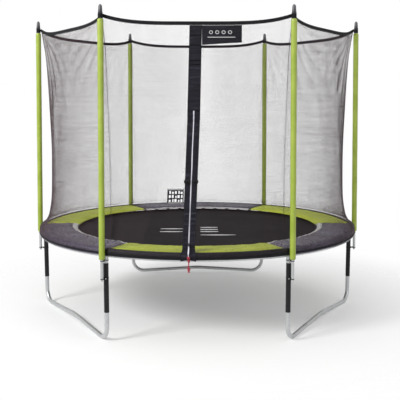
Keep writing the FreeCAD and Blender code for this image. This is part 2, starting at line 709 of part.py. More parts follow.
def borders(face):
    u0, u1, v0, v1 = face.bounds()
    isos = (face.uIso(u0), face.uIso(u1), face.vIso(v0), face.vIso(v1))
    return [iso.toShape() for iso in isos]


def thin_sheet(place, across, levels, outer, inner):
    """Solid between two offsets; place(u, level, offset) gives a control point."""
    front, back = [surface([[place(u, level, offset) for level in levels] for u in across])
                   for offset in (outer, inner)]
    faces = [front.toShape(), back.toShape()]
    for edge, other in zip(borders(front), borders(back)):
        faces.append(Part.makeRuledSurface(edge, other))
    sewn = Part.Compound(faces)
    sewn.sewShape(0.01)
    # sewing may leave loose faces instead of a shell
    solid = Part.Solid(sewn.Shells[0] if sewn.Shells else Part.makeShell(faces))
    if solid.Volume < 0:
        solid.reverse()
    return solid


# ---- enclosure net ----
NET_TOP = 2644  # nominal level of the net's upper edge, before it follows the band
BAND_GAP = 1  # from the net's upper edge to the top band
DROP_START = 0.35  # share of the net's height where it begins to follow the band
NET_EDGE = 29.97  # degrees from the middle of a bay to the edge of its net
NET_THICK = SIZE["net_thick"]
SKIRT_RADIUS = 1531.5  # net where it hangs outside the pad
SKIRT_TOP = 796  # top of that straight part
DOOR_FOOT, DOOR_HEAD = 835, 1868  # heights between which the door plane is measured
HEADER_BOTTOM = 1872  # lower edge of the net above the door

# (height, radius) of the net, shared at its foot
NET_FOOT = [(737, SKIRT_RADIUS), (SKIRT_TOP, SKIRT_RADIUS), (810, 1527), (822, 1510),
            (840, 1488), (870, 1466)]
# ... at a pole
AT_POLE = NET_FOOT + [(924, 1445), (1120, 1427), (1413, 1424), (1902, 1438), (2391, 1462),
                      (2560, 1486), (2644, 1499)]
# ... half way between two poles
MIDWAY = NET_FOOT + [(924, 1440), (1120, 1404), (1413, 1388), (1902, 1366), (2391, 1336),
                     (2560, 1322), (2644, 1317)]
# ... and above the middle of the door
ABOVE_DOOR = [(DOOR_HEAD, SIZE["door_high_reach"]), (2391, 1337), (2560, 1322), (2644, 1317)]

# levels of the control points
BAY_LEVELS = [752, 770, 790, 800, 808, 815, 824, 836, 852, 875, 910, 960, 1040, 1160, 1320,
              1520, 1760, 2020, 2260, 2420, 2540, 2600, 2644]
ABOVE_LEVELS = [1872, 2000, 2140, 2280, 2400, 2500, 2580, 2620, 2644]
BESIDE_LEVELS = [831, 840, 852, 870, 895, 930, 990, 1080, 1220, 1400, 1600, 1760, 1869.5]
HEM_LEVELS = [752, 768, 788, 800, 806, 812, 818, 824, 829]
STRIP_LEVELS = [1872, 2000, 2140, 2280, 2400, 2500, 2580, 2640]
BLANK_LEVELS = [2490, 2525, 2560, 2600, 2640]
BAY_ANGLES = span(-NET_EDGE, NET_EDGE, 27)


def smooth(table, z):
    """Monotone cubic through (height, radius) rows, constant past both ends."""
    if z <= table[0][0]:
        return table[0][1]
    if z >= table[-1][0]:
        return table[-1][1]
    rates = [(r1 - r0) / (z1 - z0) for (z0, r0), (z1, r1) in zip(table, table[1:])]
    inner = [0 if a * b <= 0 else 2 * a * b / (a + b) for a, b in zip(rates, rates[1:])]
    slopes = [rates[0]] + inner + [rates[-1]]
    for i, ((z0, r0), (z1, r1)) in enumerate(zip(table, table[1:])):
        if z <= z1:
            length = z1 - z0
            q = (z - z0) / length
            return ((2 * q**3 - 3 * q**2 + 1) * r0
                    + (q**3 - 2 * q**2 + q) * length * slopes[i]
                    + (3 * q**2 - 2 * q**3) * r1
                    + (q**3 - q**2) * length * slopes[i + 1])


# rel is the azimuth from the middle of a bay
def spread(rel):
    """0 half way between poles, 1 at a pole, and a straight chord between."""
    return (1 / math.cos(math.radians(rel)) - 1) / (1 / math.cos(math.radians(HALF_BAY)) - 1)


def band_z(rel):
    across = math.tan(math.radians(rel)) / math.tan(math.radians(HALF_BAY))
    return SIZE["band_corner"] - SIZE["band_sag"] * (1 - across**4)


def hung_point(mid, rel, level, middle_radius, follow, out):
    """Point of the net; follow is the share of the way from its level to the band."""
    radius = middle_radius + (smooth(AT_POLE, level) - middle_radius) * spread(rel) + out
    net_edge = band_z(rel) - SIZE["band_height"] / 2 - BAND_GAP
    return point(mid + rel, radius, level - (NET_TOP - net_edge) * follow**1.5)


def net_bay(label, mid):
    def place(rel, level, out):
        share = (level - SIZE["net_bottom"]) / (NET_TOP - SIZE["net_bottom"])
        follow = max(0.0, (share - DROP_START) / (1 - DROP_START))
        return hung_point(mid, rel, level, smooth(MIDWAY, level), follow, out)

    feature(label, thin_sheet(place, BAY_ANGLES, BAY_LEVELS, 0.0, -NET_THICK))


for k, word in enumerate(("front_right", "back_right", "back", "back_left", "front_left"), 1):
    net_bay("net_" + word, BAY * k)

# ---- front bay: the net is flat round the door ----
DOOR_SLOPE = (SIZE["door_low_reach"] - SIZE["door_high_reach"]) / (DOOR_HEAD - DOOR_FOOT)
DOOR_NORMAL = Vector(0, -1, DOOR_SLOPE).normalize()
DOOR_UP = Vector(0, DOOR_SLOPE, 1).normalize()
CROWN_LEVEL = 2640  # level of the header strip's upper edge


def door_y(z):
    return -(SIZE["door_low_reach"] - (z - DOOR_FOOT) * DOOR_SLOPE)


def zip_x(z):
    """The zip runs askew: left of the middle at the foot, nearer to it higher up."""
    foot, head, crown = SIZE["zip_foot"], SIZE["zip_head"], SIZE["zip_crown"]
    bottom = SIZE["door_bottom"]
    if z <= DOOR_HEAD:
        return foot + (head - foot) * (z - bottom) / (DOOR_HEAD - bottom)
    return head + (crown - head) * (z - DOOR_HEAD) / (CROWN_LEVEL - DOOR_HEAD)


def hinge_x(side, z):
    """Distance of a hinge line from the middle plane, on its own side."""
    head = SIZE["door_half_top"] + side * SIZE["zip_head"]
    return head + (SIZE["door_half"] - head) * (DOOR_HEAD - z) / (DOOR_HEAD - DOOR_FOOT)


def above_point(rel, level, out):
    follow = (level - HEADER_BOTTOM) / (NET_TOP - HEADER_BOTTOM)
    return hung_point(0, rel, level, smooth(ABOVE_DOOR, level), follow, out)


def net_beside_door(label, side):
    hinge_gap = 1.0
    bulge_radius = 1420.0  # curvature of the net between pole and hinge

    def place(q, z, out):
        # laid out on the left from the pole (q=0) to the hinge line (q=1)
        pole = point(-NET_EDGE, smooth(AT_POLE, z) + out, z)
        hinge = Vector(-hinge_x(side, z) - hinge_gap, door_y(z) - out, z)
        chord = hinge - pole
        outward = Vector(chord.y, -chord.x, 0).normalize()
        bulge = chord.Length**2 / (8 * bulge_radius) * 4 * q * (1 - q)
        spot = pole + chord * q + outward * bulge
        return Vector(-side * spot.x, spot.y, z)

    feature(label, thin_sheet(place, span(0, 1, 11), BESIDE_LEVELS, 0.0, -NET_THICK))


def hem_point(rel, z, out):
    """Net under the door: from the skirt in to the door's foot and the side nets."""
    hem_top, top_offset = 829, 8
    reach = SIZE["door_low_reach"]
    edge = math.degrees(math.atan2(SIZE["door_half"], reach))
    if abs(rel) <= edge:
        top_radius = reach / math.cos(math.radians(rel))
    else:
        q = (abs(rel) - edge) / (HALF_BAY - edge)
        edge_radius = reach / math.cos(math.radians(edge))
        top_radius = (1 - q) * edge_radius + q * smooth(AT_POLE, hem_top)
    radius = SKIRT_RADIUS
    if z > SKIRT_TOP:
        q = (z - SKIRT_TOP) / (hem_top - SKIRT_TOP)
        radius += (top_radius + top_offset - SKIRT_RADIUS) * q * q * (3 - 2 * q)
    return point(rel, radius + out, z)


feature("net_above_door",
        thin_sheet(above_point, BAY_ANGLES, ABOVE_LEVELS, 0.0, -NET_THICK))
net_beside_door("net_beside_door_left", -1)
net_beside_door("net_beside_door_right", 1)
feature("net_door_hem", thin_sheet(hem_point, span(-NET_EDGE, NET_EDGE, 25), HEM_LEVELS,
                                   0.0, -NET_THICK))


# ---- top band: one length per bay, hanging between the poles ----
def top_band(mid):
    middle_radius, pole_radius, edge = 1318, 1502, 29.9
    half_height, half_thick = SIZE["band_height"] / 2, SIZE["band_thick"] / 2

    def place(rel, rise, out):
        radius = middle_radius + (pole_radius - middle_radius) * spread(rel) + out
        return point(mid + rel, radius, band_z(rel) + rise)

    return thin_sheet(place, span(-edge, edge, 17), span(-half_height, half_height, 4),
                      half_thick, -half_thick)


group("net_top_band", [top_band(BAY * k) for k in range(6)])


# ---- header strip above the door and the plain panel beside it ----
def header(label, across, levels, thick, follow):
    """across is measured from the zip's line, or from the middle plane if follow is 0."""
    header_radius, gap = 1350.0, 1.0

    def place(x, z, out):
        rel = math.degrees(math.asin((x + follow * zip_x(z)) / header_radius))
        return above_point(rel, z, out)

    feature(label, thin_sheet(place, across, levels, gap + thick, gap))


STRIP_HALF = SIZE["strip_half"]
header("door_header_strip", span(-STRIP_HALF, STRIP_HALF, 5), STRIP_LEVELS, thick=2.0, follow=1)
header("door_blank_panel", span(42.0, 350.0, 7), BLANK_LEVELS, thick=1.6, follow=0)


# ---- door: planar pieces on the slanted door plane ----
def rectangle(near, far, bottom, top):
    return [(near, bottom), (near, top), (far, top), (far, bottom)]


def door_piece(label, side, outline, out, thick):
    """outline is (distance from the zip, height); out is the gap to the door plane."""
    corners = [Vector(zip_x(z) + side * x, door_y(z), z) + DOOR_NORMAL * out
               for x, z in outline]
    face = Part.Face(Part.makePolygon(corners + corners[:1]))
    feature(label, face.extrude(DOOR_NORMAL * thick))


def door_half(word, side):
    bottom, top, zip_half = SIZE["door_bottom"], SIZE["door_top"], SIZE["zip_half"]
    flap_gap, hinge_gap, zip_gap = 0.4, 1, 0.3

    def flap_edge(z):
        return hinge_x(side, z) - side * zip_x(z) - hinge_gap

    near = STRIP_HALF + flap_gap
    flap = [(near, bottom), (near, top), (flap_edge(top), top), (flap_edge(bottom), bottom)]
    door_piece(f"door_flap_{word}", side, flap, out=-NET_THICK / 2, thick=NET_THICK)
    door_piece(f"door_strip_{word}", side,
               rectangle(zip_half + zip_gap, STRIP_HALF, bottom, top), out=-1.0, thick=2.0)
    door_piece(f"zip_half_{word}", side, rectangle(zip_gap, zip_half, bottom, top - 2),
               out=-1.2, thick=2.4)
    # tie-back toggle on the strip
    door_piece(f"door_toggle_{word}", side, rectangle(8, 44, 1346, 1372),
               out=1.2, thick=9.0)


door_half("left", -1)
door_half("right", 1)
door_piece("door_tag", -1, rectangle(56, 186, 1184, 1302), out=0.8, thick=1.0)

# ---- zip slider: a body in front of the zip with an eye for the cord ----
SLIDER_Z = 842
SLIDER_FOOT = Vector(zip_x(SLIDER_Z), door_y(SLIDER_Z), SLIDER_Z)


def slider_box(name, part, out, rise):
    """Box on the slider; out and rise place its lower front edge."""
    corner = (SLIDER_FOOT + DOOR_NORMAL * out + DOOR_UP * rise
              + Vector(-SIZE[part + "_width"] / 2, 0, 0))
    tilt = Rotation(Vector(1, 0, 0), -math.degrees(math.atan(DOOR_SLOPE)))
    return primitive("Box", name, Placement(corner, tilt), Length=f"Sizes.{part}_width",
                     Width=f"Sizes.{part}_depth", Height=f"Sizes.{part}_height")


block = slider_box("slider_block", "slider", out=8.4, rise=0)
eye = slider_box("slider_eye", "eye", out=14.0, rise=4)
node(fuse("zip_slider_solid", [block, eye]), "zip_slider")


# ---- pull cord: hangs from the slider's eye in front of the skirt, with a knot ----
def pull_cord():
    radius, hang_y, knot_z = SIZE["cord_radius"], -1551, 676
    start = SLIDER_FOOT + DOOR_NORMAL * 17.6 + DOOR_UP * 3.0
    path = [start, Vector(start.x, -1536, 824), Vector(start.x, hang_y, 800),
            Vector(start.x, hang_y, 655)]
    pieces = [Part.makeCylinder(radius, (q - p).Length, p, q - p)
              for p, q in zip(path, path[1:])]
    pieces += [Part.makeSphere(radius, p) for p in path]
    pieces.append(Part.makeSphere(SIZE["knot_radius"], Vector(start.x, hang_y, knot_z)))
    return pieces[0].multiFuse(pieces[1:]).removeSplitter()


feature("zip_pull_cord", pull_cord())

# ---- check and export ----
doc.recompute()
bad = [obj.Name for obj in doc.Objects if "Invalid" in obj.State or "Error" in obj.State]
if bad:
    raise SystemExit(f"failed objects: {bad}")
for label, obj in nodes.items():
    shape = obj.Shape
    if shape.isNull() or not shape.isValid() or not shape.Solids or shape.Volume <= 0:
        raise SystemExit(f"bad shape: {label}")
for label, obj in nodes.items():
    obj.Shape.exportStep(f"parts/{label}.step")
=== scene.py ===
"""Round trampoline inside a six-sided safety net with a zipped door.

It stands on z = 0 about the Z axis, with the door facing -Y, the front. Azimuths are degrees
from the front, turning towards +X, which is the right. Poles and legs stand at odd multiples
of 30 degrees; a net bay and a pad lie between each two. Meshes are in metres. The net, door,
skirt and cord are worked out in millimetres and divided by 1000.
"""

import bmesh
import bpy
import numpy as np
from mathutils import Matrix, Vector
from numpy import clip, cos, exp, linspace, pi, radians, sin, stack, vstack

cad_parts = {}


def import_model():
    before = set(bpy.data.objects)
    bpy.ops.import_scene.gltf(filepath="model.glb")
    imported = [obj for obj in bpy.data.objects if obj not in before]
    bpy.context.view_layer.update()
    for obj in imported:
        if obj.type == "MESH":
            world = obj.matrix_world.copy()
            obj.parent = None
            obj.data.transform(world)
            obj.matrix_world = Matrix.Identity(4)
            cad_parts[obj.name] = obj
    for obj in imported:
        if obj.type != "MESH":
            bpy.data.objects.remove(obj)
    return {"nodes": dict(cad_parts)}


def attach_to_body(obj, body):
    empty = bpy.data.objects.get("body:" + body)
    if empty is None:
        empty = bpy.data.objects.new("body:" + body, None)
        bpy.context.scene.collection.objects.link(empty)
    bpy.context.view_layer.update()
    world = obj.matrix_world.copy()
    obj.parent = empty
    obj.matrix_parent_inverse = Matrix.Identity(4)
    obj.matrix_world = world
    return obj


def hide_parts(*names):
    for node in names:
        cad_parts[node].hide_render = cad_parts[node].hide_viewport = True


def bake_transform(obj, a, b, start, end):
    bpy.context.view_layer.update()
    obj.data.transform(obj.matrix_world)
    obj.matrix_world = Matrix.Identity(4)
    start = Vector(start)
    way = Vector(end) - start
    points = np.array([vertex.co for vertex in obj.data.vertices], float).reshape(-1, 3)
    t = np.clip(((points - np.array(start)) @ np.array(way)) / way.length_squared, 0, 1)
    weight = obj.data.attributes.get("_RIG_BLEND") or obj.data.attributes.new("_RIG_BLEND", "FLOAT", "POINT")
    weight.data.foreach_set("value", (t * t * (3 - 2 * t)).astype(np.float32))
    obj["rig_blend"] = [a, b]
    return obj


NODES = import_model()["nodes"]
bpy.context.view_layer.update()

TAU = 2 * pi
LEGS = range(-150, 151, 60)
BAYS = {"front": 0, "front_right": 60, "back_right": 120,
        "back": 180, "back_left": 240, "front_left": 300}
DOOR_SIDES = {"left": -1, "right": 1}
SPRINGS = range(3, 360, 6)


# ------------------------------------------------------------------ points and ripples
def crossed(first, second):
    return np.meshgrid(first, second, indexing="ij")


def turn(count):
    """Angles once round, in radians."""
    return np.arange(count) * TAU / count


def points(x, y, z):
    return stack(np.broadcast_arrays(x, y, z), -1)


def polar(azimuth, radius, z):
    angle = radians(azimuth)
    return points(radius * sin(angle), -radius * cos(angle), z)


def polar_mm(azimuth, radius, z):
    """Metre points from millimetres."""
    return polar(azimuth, radius, z) / 1000


def turned(places, azimuth):
    """Points built at the front, turned about Z."""
    angle = radians(azimuth)
    x, y, z = np.moveaxis(np.asarray(places), -1, 0)
    return points(x * cos(angle) - y * sin(angle), x * sin(angle) + y * cos(angle), z)


def ease(value, start, end):
    """Smooth rise from 0 at start to 1 at end; start may be the larger."""
    share = clip((np.asarray(value, float) - start) / (end - start), 0, 1)
    return share * share * (3 - 2 * share)


def waves(u, v, seed, count, per_u, per_v):
    """Sum of seeded sine waves, about -1 to 1; per_u and per_v are ranges of frequency."""
    rng = np.random.RandomState(seed)
    total = 0
    for _ in range(count):
        rate_u = rng.uniform(*per_u) * rng.choice([-1, 1])
        rate_v = rng.uniform(*per_v)
        phase = rng.uniform(0, TAU)
        total = total + sin(TAU * (rate_u * u + rate_v * v) + phase) * rng.uniform(0.5, 1)
    return total / (0.55 * count)


# ------------------------------------------------------------------ mesh tools
def link(name, data):
    item = bpy.data.objects.new(name, data)
    bpy.context.scene.collection.objects.link(item)
    return item


def build(name, verts, quads, finish, uv=None):
    """Smooth closed solid of quads, flipped when it is inside out."""
    first, second, third, fourth = np.moveaxis(verts[quads], 1, 0)
    if (first * (np.cross(second, third) + np.cross(third, fourth))).sum() < 0:
        quads = quads[:, ::-1]
    mesh = bpy.data.meshes.new(name)
    mesh.vertices.add(len(verts))
    mesh.vertices.foreach_set("co", verts.astype(np.float32).ravel())
    mesh.loops.add(quads.size)
    mesh.loops.foreach_set("vertex_index", quads.astype(np.int32).ravel())
    mesh.polygons.add(len(quads))
    mesh.polygons.foreach_set("loop_start", np.arange(0, quads.size, 4, dtype=np.int32))
    mesh.polygons.foreach_set("use_smooth", np.ones(len(quads), bool))
    mesh.update(calc_edges=True)
    if uv is not None:
        layer = mesh.uv_layers.new(name="metres")
        layer.data.foreach_set("uv", uv[quads].astype(np.float32).ravel())
    mesh.materials.append(FINISH[finish])
    mesh.validate()
    return link(name, mesh)


def build_mixed(name, verts, faces, finish, smooth=True):
    """Solids of any faces; a repeated fourth corner stands for a triangle."""
    mesh = bpy.data.meshes.new(name)
    faces = [tuple(face[:3]) if face[2] == face[3] else tuple(face) for face in faces]
    mesh.from_pydata(verts.tolist(), [], faces)
    shape = bmesh.new()
    shape.from_mesh(mesh)
    bmesh.ops.recalc_face_normals(shape, faces=shape.faces)
    shape.to_mesh(mesh)
    shape.free()
    mesh.polygons.foreach_set("use_smooth", np.full(len(mesh.polygons), smooth, bool))
    mesh.materials.append(FINISH[finish])
    return link(name, mesh)


def grid_faces(rows, cols, close_rows=False, close_cols=False):
    row, col = crossed(np.arange(rows - (not close_rows)), np.arange(cols - (not close_cols)))
    row, col = row.ravel(), col.ravel()
    row2, col2 = (row + 1) % rows, (col + 1) % cols
    corners = (row, col), (row2, col), (row2, col2), (row, col2)
    return stack([i * cols + j for i, j in corners], 1)


def shell_data(outer, inner):
    """Closed thin solid between two open grids of the same size."""
    rows, cols = outer.shape[:2]
    count = rows * cols
    quads = grid_faces(rows, cols)
    parts = [quads, quads[:, ::-1] + count]
    ids = np.arange(count).reshape(rows, cols)
    edges = (ids[0], False), (ids[-1], True), (ids[:, 0], True), (ids[:, -1], False)
    for edge, flipped in edges:
        start, end = edge[:-1], edge[1:]
        rim = stack([start, end, end + count, start + count], 1)
        parts.append(rim[:, ::-1] if flipped else rim)
    return vstack([outer.reshape(-1, 3), inner.reshape(-1, 3)]), vstack(parts)


def shell(name, outer, inner, finish, uv=None):
    if uv is not None:
        uv = np.tile(uv.reshape(-1, 2), (2, 1))
    return build(name, *shell_data(outer, inner), finish, uv)


def capped(rings, tips=None):
    """Run of closed rings, with a fan of triangles to a tip at each end."""
    count, seg = rings.shape[:2]
    if tips is None:
        tips = rings[[0, -1]].mean(1)
    near = np.arange(seg)
    near2 = (near + 1) % seg
    far, far2 = near + (count - 1) * seg, near2 + (count - 1) * seg
    tip = np.full(seg, count * seg)
    faces = [grid_faces(count, seg, False, True),
             stack([near2, near, tip, tip], 1),
             stack([far, far2, tip + 1, tip + 1], 1)]
    return vstack([rings.reshape(-1, 3), tips]), vstack(faces)


def frames_along(path, closed=False):
    """Tangents of a path, and two directions across it that don't twist."""
    if closed:
        along = np.roll(path, -1, 0) - np.roll(path, 1, 0)
    else:
        along = np.gradient(path, axis=0)
    along /= np.maximum(np.linalg.norm(along, axis=1, keepdims=True), 1e-12)
    current = np.array([0, 0, 1.0]) if abs(along[0, 2]) < 0.9 else np.array([1.0, 0, 0])
    side = np.zeros_like(path)
    for k in range(len(path)):
        current = current - along[k] * (current @ along[k])
        current /= max(np.linalg.norm(current), 1e-12)
        side[k] = current
    return along, side, np.cross(along, side)


def tube_data(path, radius, seg, closed=False):
    along, side, other = frames_along(path, closed)
    angle = turn(seg)[None, :, None]
    rings = path[:, None] + radius * (side[:, None] * cos(angle) + other[:, None] * sin(angle))
    if closed:
        return rings.reshape(-1, 3), grid_faces(len(path), seg, True, True)
    reach = along * radius * 0.5
    return capped(rings, [path[0] - reach[0], path[-1] + reach[-1]])


def lathe(profile, seg, wobble=lambda height, angle: 0.0):
    """Closed profile of (radius, height) turned about Z; the bore doesn't wobble."""
    widest_bore = 0.0165
    radius, height = profile.T[:, :, None]
    angle = turn(seg)[None]
    radius = radius + wobble(height, angle) * (radius > widest_bore)
    verts = points(radius * cos(angle), radius * sin(angle), height).reshape(-1, 3)
    return verts, grid_faces(len(profile), seg, True, True)


def with_bore(radii, heights, bore, inset):
    """Profile of an outside and a straight bore that stops short of both ends."""
    inside = [[bore, heights[-1] - inset], [bore, heights[0] + inset]]
    return vstack([stack([radii, heights], 1), inside])


class Pile:
    """Collects many small solids into one mesh."""

    def __init__(self):
        self.verts, self.faces, self.count = [], [], 0

    def add(self, verts, faces):
        self.verts.append(verts)
        self.faces.append(np.asarray(faces) + self.count)
        self.count += len(verts)

    def shell(self, outer, inner):
        self.add(*shell_data(outer, inner))

    def tube(self, path, radius, seg, closed=False):
        self.add(*tube_data(path, radius, seg, closed))

    def around(self, azimuths, verts, faces):
        for azimuth in azimuths:
            self.add(turned(verts, azimuth), faces)

    def build(self, name, finish, smooth=True):
        return build_mixed(name, vstack(self.verts), vstack(self.faces).tolist(), finish, smooth)


def get_places(piece):
    places = np.zeros(len(piece.data.vertices) * 3)
    piece.data.vertices.foreach_get("co", places)
    return places.reshape(-1, 3)


def set_places(piece, places):
    piece.data.vertices.foreach_set("co", places.astype(np.float32).ravel())


def label(piece, slot, *replaced):
    if replaced:
        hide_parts(*replaced)


def attach(piece, body, slot, *replaced):
    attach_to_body(piece, body)
    label(piece, slot, *replaced)


def set_weights(piece, weights):
    """Share of each point that follows the second body of a blend."""
    attribute = piece.data.attributes["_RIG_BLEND"]
    attribute.data.foreach_set("value", weights.astype(np.float32))


# ------------------------------------------------------------------ material tools
def srgb(*levels):
    """Linear colour from red, green and blue of 0 to 255."""
    shares = [level / 255 for level in levels]
    return tuple(s / 12.92 if s <= 0.04045 else ((s + 0.055) / 1.055) ** 2.4
                 for s in shares) + (1.0,)


def shade(colour, factor, lift=0.0):
    return tuple(min(1, part * factor + lift) for part in colour[:3]) + (1,)


class Look:
    """One material's nodes; most methods add a node and return its output."""

    def __init__(self, name):
        self.material = bpy.data.materials.new(name)
        self.material.use_nodes = True
        self.tree = self.material.node_tree
        self.surface = self.tree.nodes["Principled BSDF"]

    def put(self, socket, value):
        if isinstance(value, bpy.types.NodeSocket):
            self.tree.links.new(value, socket)
        elif value is not None:
            socket.default_value = value

    def node(self, kind, inputs=(), out=0, **settings):
        node = self.tree.nodes.new(kind)
        for key, value in settings.items():
            setattr(node, key, value)
        pairs = inputs.items() if isinstance(inputs, dict) else enumerate(inputs)
        for key, value in pairs:
            self.put(node.inputs[key], value)
        return node.outputs[out]

    def math(self, operation, first, second=0.0):
        return self.node("ShaderNodeMath", (first, second, 0.0), operation=operation)

    def sine(self, value, rate):
        return self.math("SINE", self.math("MULTIPLY", value, rate))

    def coord(self, which="Object"):
        return self.node("ShaderNodeTexCoord", out=which)

    def scaled(self, vector, factors):
        return self.node("ShaderNodeVectorMath", (vector, factors), operation="MULTIPLY")

    def noise(self, vector, scale, detail=3.0, rough=0.5, out="Fac"):
        inputs = {"Vector": vector, "Scale": scale, "Detail": detail, "Roughness": rough}
        return self.node("ShaderNodeTexNoise", inputs, out=out)

    def ramp(self, value, span=(0, 1), to=(0, 1)):
        """Maps span onto to, clamped."""
        return self.node("ShaderNodeMapRange", {
            "Value": value, "From Min": span[0], "From Max": span[1],
            "To Min": to[0], "To Max": to[1]})

    def mix(self, factor, first, second):
        node = self.tree.nodes.new("ShaderNodeMix")
        node.data_type = "RGBA"
        for index, value in ((0, factor), (6, first), (7, second)):
            self.put(node.inputs[index], value)
        return node.outputs[2]

    def bump(self, height, strength, distance, normal=None):
        return self.node("ShaderNodeBump", {
            "Height": height, "Strength": strength, "Distance": distance, "Normal": normal})

    def xyz(self, vector):
        node = self.tree.nodes.new("ShaderNodeSeparateXYZ")
        self.tree.links.new(vector, node.inputs[0])
        return node.outputs

    def weave(self, vector, pitch, axes=(0, 1)):
        """Over-and-under height of a plain weave."""
        parts = self.xyz(vector)
        first, second = (self.math("ABSOLUTE", self.sine(parts[axis], pi / pitch))
                         for axis in axes)
        return self.math("ADD", first, second)

    def see_through(self, cover):
        """Shows the surface where cover is 1 and nothing where it is 0."""
        clear = self.node("ShaderNodeBsdfTransparent")
        return self.node("ShaderNodeMixShader", (cover, clear, self.surface.outputs[0]))

    def output(self, shader):
        self.tree.links.new(shader, self.tree.nodes["Material Output"].inputs[0])

    def set(self, **values):
        for key, value in values.items():
            self.put(self.surface.inputs[key.replace("_", " ")], value)
        return self.material


# ------------------------------------------------------------------ materials
def metal(name, base, rough, scale):
    look = Look(name)
    place = look.coord()
    cells = look.node("ShaderNodeTexVoronoi", {"Vector": place, "Scale": 85 * scale}, out="Color")
    spangle = look.xyz(cells)[0]
    stain = look.noise(place, scale=9, detail=5, rough=0.6)
    colour = look.mix(look.ramp(spangle, to=(0, 0.35)), base, shade(base, 0.72))
    stained = look.ramp(stain, span=(0.52, 0.72), to=(0, 0.35))
    colour = look.mix(stained, colour, shade(base, 0.55))
    dull = look.ramp(stain, span=(0.3, 0.7), to=(rough - 0.08, rough + 0.12))
    dull = look.math("ADD", dull, look.math("MULTIPLY", spangle, 0.08))
    grain = look.noise(look.scaled(place, (300, 300, 300)), scale=3, detail=2)
    return look.set(Base_Color=colour, Metallic=0.85, Roughness=dull,
                    Normal=look.bump(grain, strength=0.12, distance=0.0004))


def vinyl(name, base, rough, mottle_and_glint, crease, gloss, band=None):
    """Creased vinyl; band is the two radii of a pale ring on its upper face."""
    look = Look(name)
    place = look.coord()
    big = look.noise(place, scale=5.5, detail=4, rough=0.55)
    fine = look.noise(place, scale=60, detail=4, rough=0.6)
    # Light and dark mottling is uneven tone; on the dark vinyl it is strong and also paints the glints and
    # shade of wrinkles.
    dark, light = shade(base, 1 - mottle_and_glint), shade(base, 1 + mottle_and_glint * 0.7, lift=0.006)
    colour = look.mix(look.ramp(big, span=(0.35, 0.65)), dark, light)
    colour = look.mix(look.ramp(fine, span=(0.55, 0.75), to=(0, 0.35)), colour, dark)
    if band:
        blur = 0.0015
        x, y, z = look.xyz(place)
        squares = look.math("ADD", look.math("MULTIPLY", x, x), look.math("MULTIPLY", y, y))
        radius = look.math("SQRT", squares)
        ring = look.math("MULTIPLY",
                         look.ramp(radius, span=(band[0] - blur, band[0] + blur)),
                         look.ramp(radius, span=(band[1] + blur, band[1] - blur)))
        ring = look.math("MULTIPLY", ring, look.ramp(z, span=(0.7805, 0.7815)))
        pale = look.mix(look.ramp(fine, span=(0.3, 0.7)),
                        srgb(204, 202, 200), srgb(228, 226, 222))
        colour = look.mix(ring, colour, pale)
    warped = look.node("ShaderNodeVectorMath", (place, look.noise(place, scale=14, out="Color")),
                       operation="MULTIPLY_ADD")
    creases = look.node("ShaderNodeTexVoronoi", {"Vector": warped, "Scale": 22.0},
                        feature="DISTANCE_TO_EDGE")
    normal = look.bump(look.weave(place, pitch=0.0022), strength=0.10, distance=0.0004)
    normal = look.bump(look.ramp(creases, span=(0, 0.16)), strength=crease * 0.5,
                       distance=0.004, normal=normal)
    normal = look.bump(look.noise(place, scale=26, detail=4, rough=0.6), strength=crease,
                       distance=0.007, normal=normal)
    dull = look.ramp(fine, span=(0.3, 0.7), to=(rough - 0.07, rough + 0.12))
    return look.set(Base_Color=colour, Roughness=dull, Normal=normal, Specular_IOR_Level=gloss,
                    Coat_Weight=0.08 * gloss, Coat_Roughness=0.3)


def fabric(name, base, pitch, rough, cross=0.0):
    """Woven cloth; the last argument turns on level wrinkles and sets how strongly shade is painted into
    their valleys and a highlight onto their crests.
    """
    look = Look(name)
    place = look.coord()
    weave = look.math("ADD", look.weave(place, pitch, axes=(0, 2)),
                      look.weave(place, pitch, axes=(1, 2)))
    big = look.noise(look.coord(), scale=12, detail=4, rough=0.6)
    # Painted shade and highlight: the weave's colour is darker in its hollows and lighter on its raised
    # threads.
    colour = look.mix(look.ramp(weave, span=(0.3, 3.6)), shade(base, 1 - 0.2), shade(base, 1.2))
    worn = look.ramp(big, span=(0.5, 0.75), to=(0, 0.3))
    colour = look.mix(worn, colour, shade(base, 1.5, lift=0.01))
    normal = look.bump(weave, strength=0.35, distance=0.0006)
    normal = look.bump(big, strength=0.25, distance=0.002, normal=normal)
    if cross:
        wrinkle = look.noise(look.scaled(look.coord(), (3.0, 3.0, 30.0)),
                             scale=1.0, detail=4, rough=0.55)
        # Painted shade: darker colour in the wrinkles' valleys.
        painted_valley_shade = look.ramp(wrinkle, span=(0.40, 0.62), to=(0, cross))
        colour = look.mix(painted_valley_shade, colour, shade(base, 0.35))
        # Painted highlight: lighter colour on the wrinkles' crests.
        crest = look.ramp(wrinkle, span=(0.56, 0.72), to=(0, cross))
        colour = look.mix(crest, colour, shade(base, 2.8, lift=0.010))
        normal = look.bump(wrinkle, strength=0.9, distance=0.009, normal=normal)
    dull = look.ramp(big, span=(0.3, 0.7), to=(rough - 0.06, rough + 0.08))
    return look.set(Base_Color=colour, Roughness=dull, Normal=normal, Sheen_Weight=0.02,
                    Sheen_Roughness=0.5, Specular_IOR_Level=0.18)


def plastic(name, base, rough):
    look = Look(name)
    place = look.coord()
    grain = look.noise(place, scale=220, detail=2)
    scuffs = look.noise(place, scale=25, detail=4, rough=0.6)
    worn = look.ramp(scuffs, span=(0.4, 0.7), to=(0, 0.6))
    normal = look.bump(grain, strength=0.18, distance=0.0003)
    return look.set(
        Base_Color=look.mix(worn, base, shade(base, 1.35, lift=0.008)),
        Roughness=look.ramp(scuffs, span=(0.3, 0.7), to=(rough - 0.08, rough + 0.12)),
        Normal=look.bump(scuffs, strength=0.15, distance=0.0015, normal=normal),
        Specular_IOR_Level=0.3)


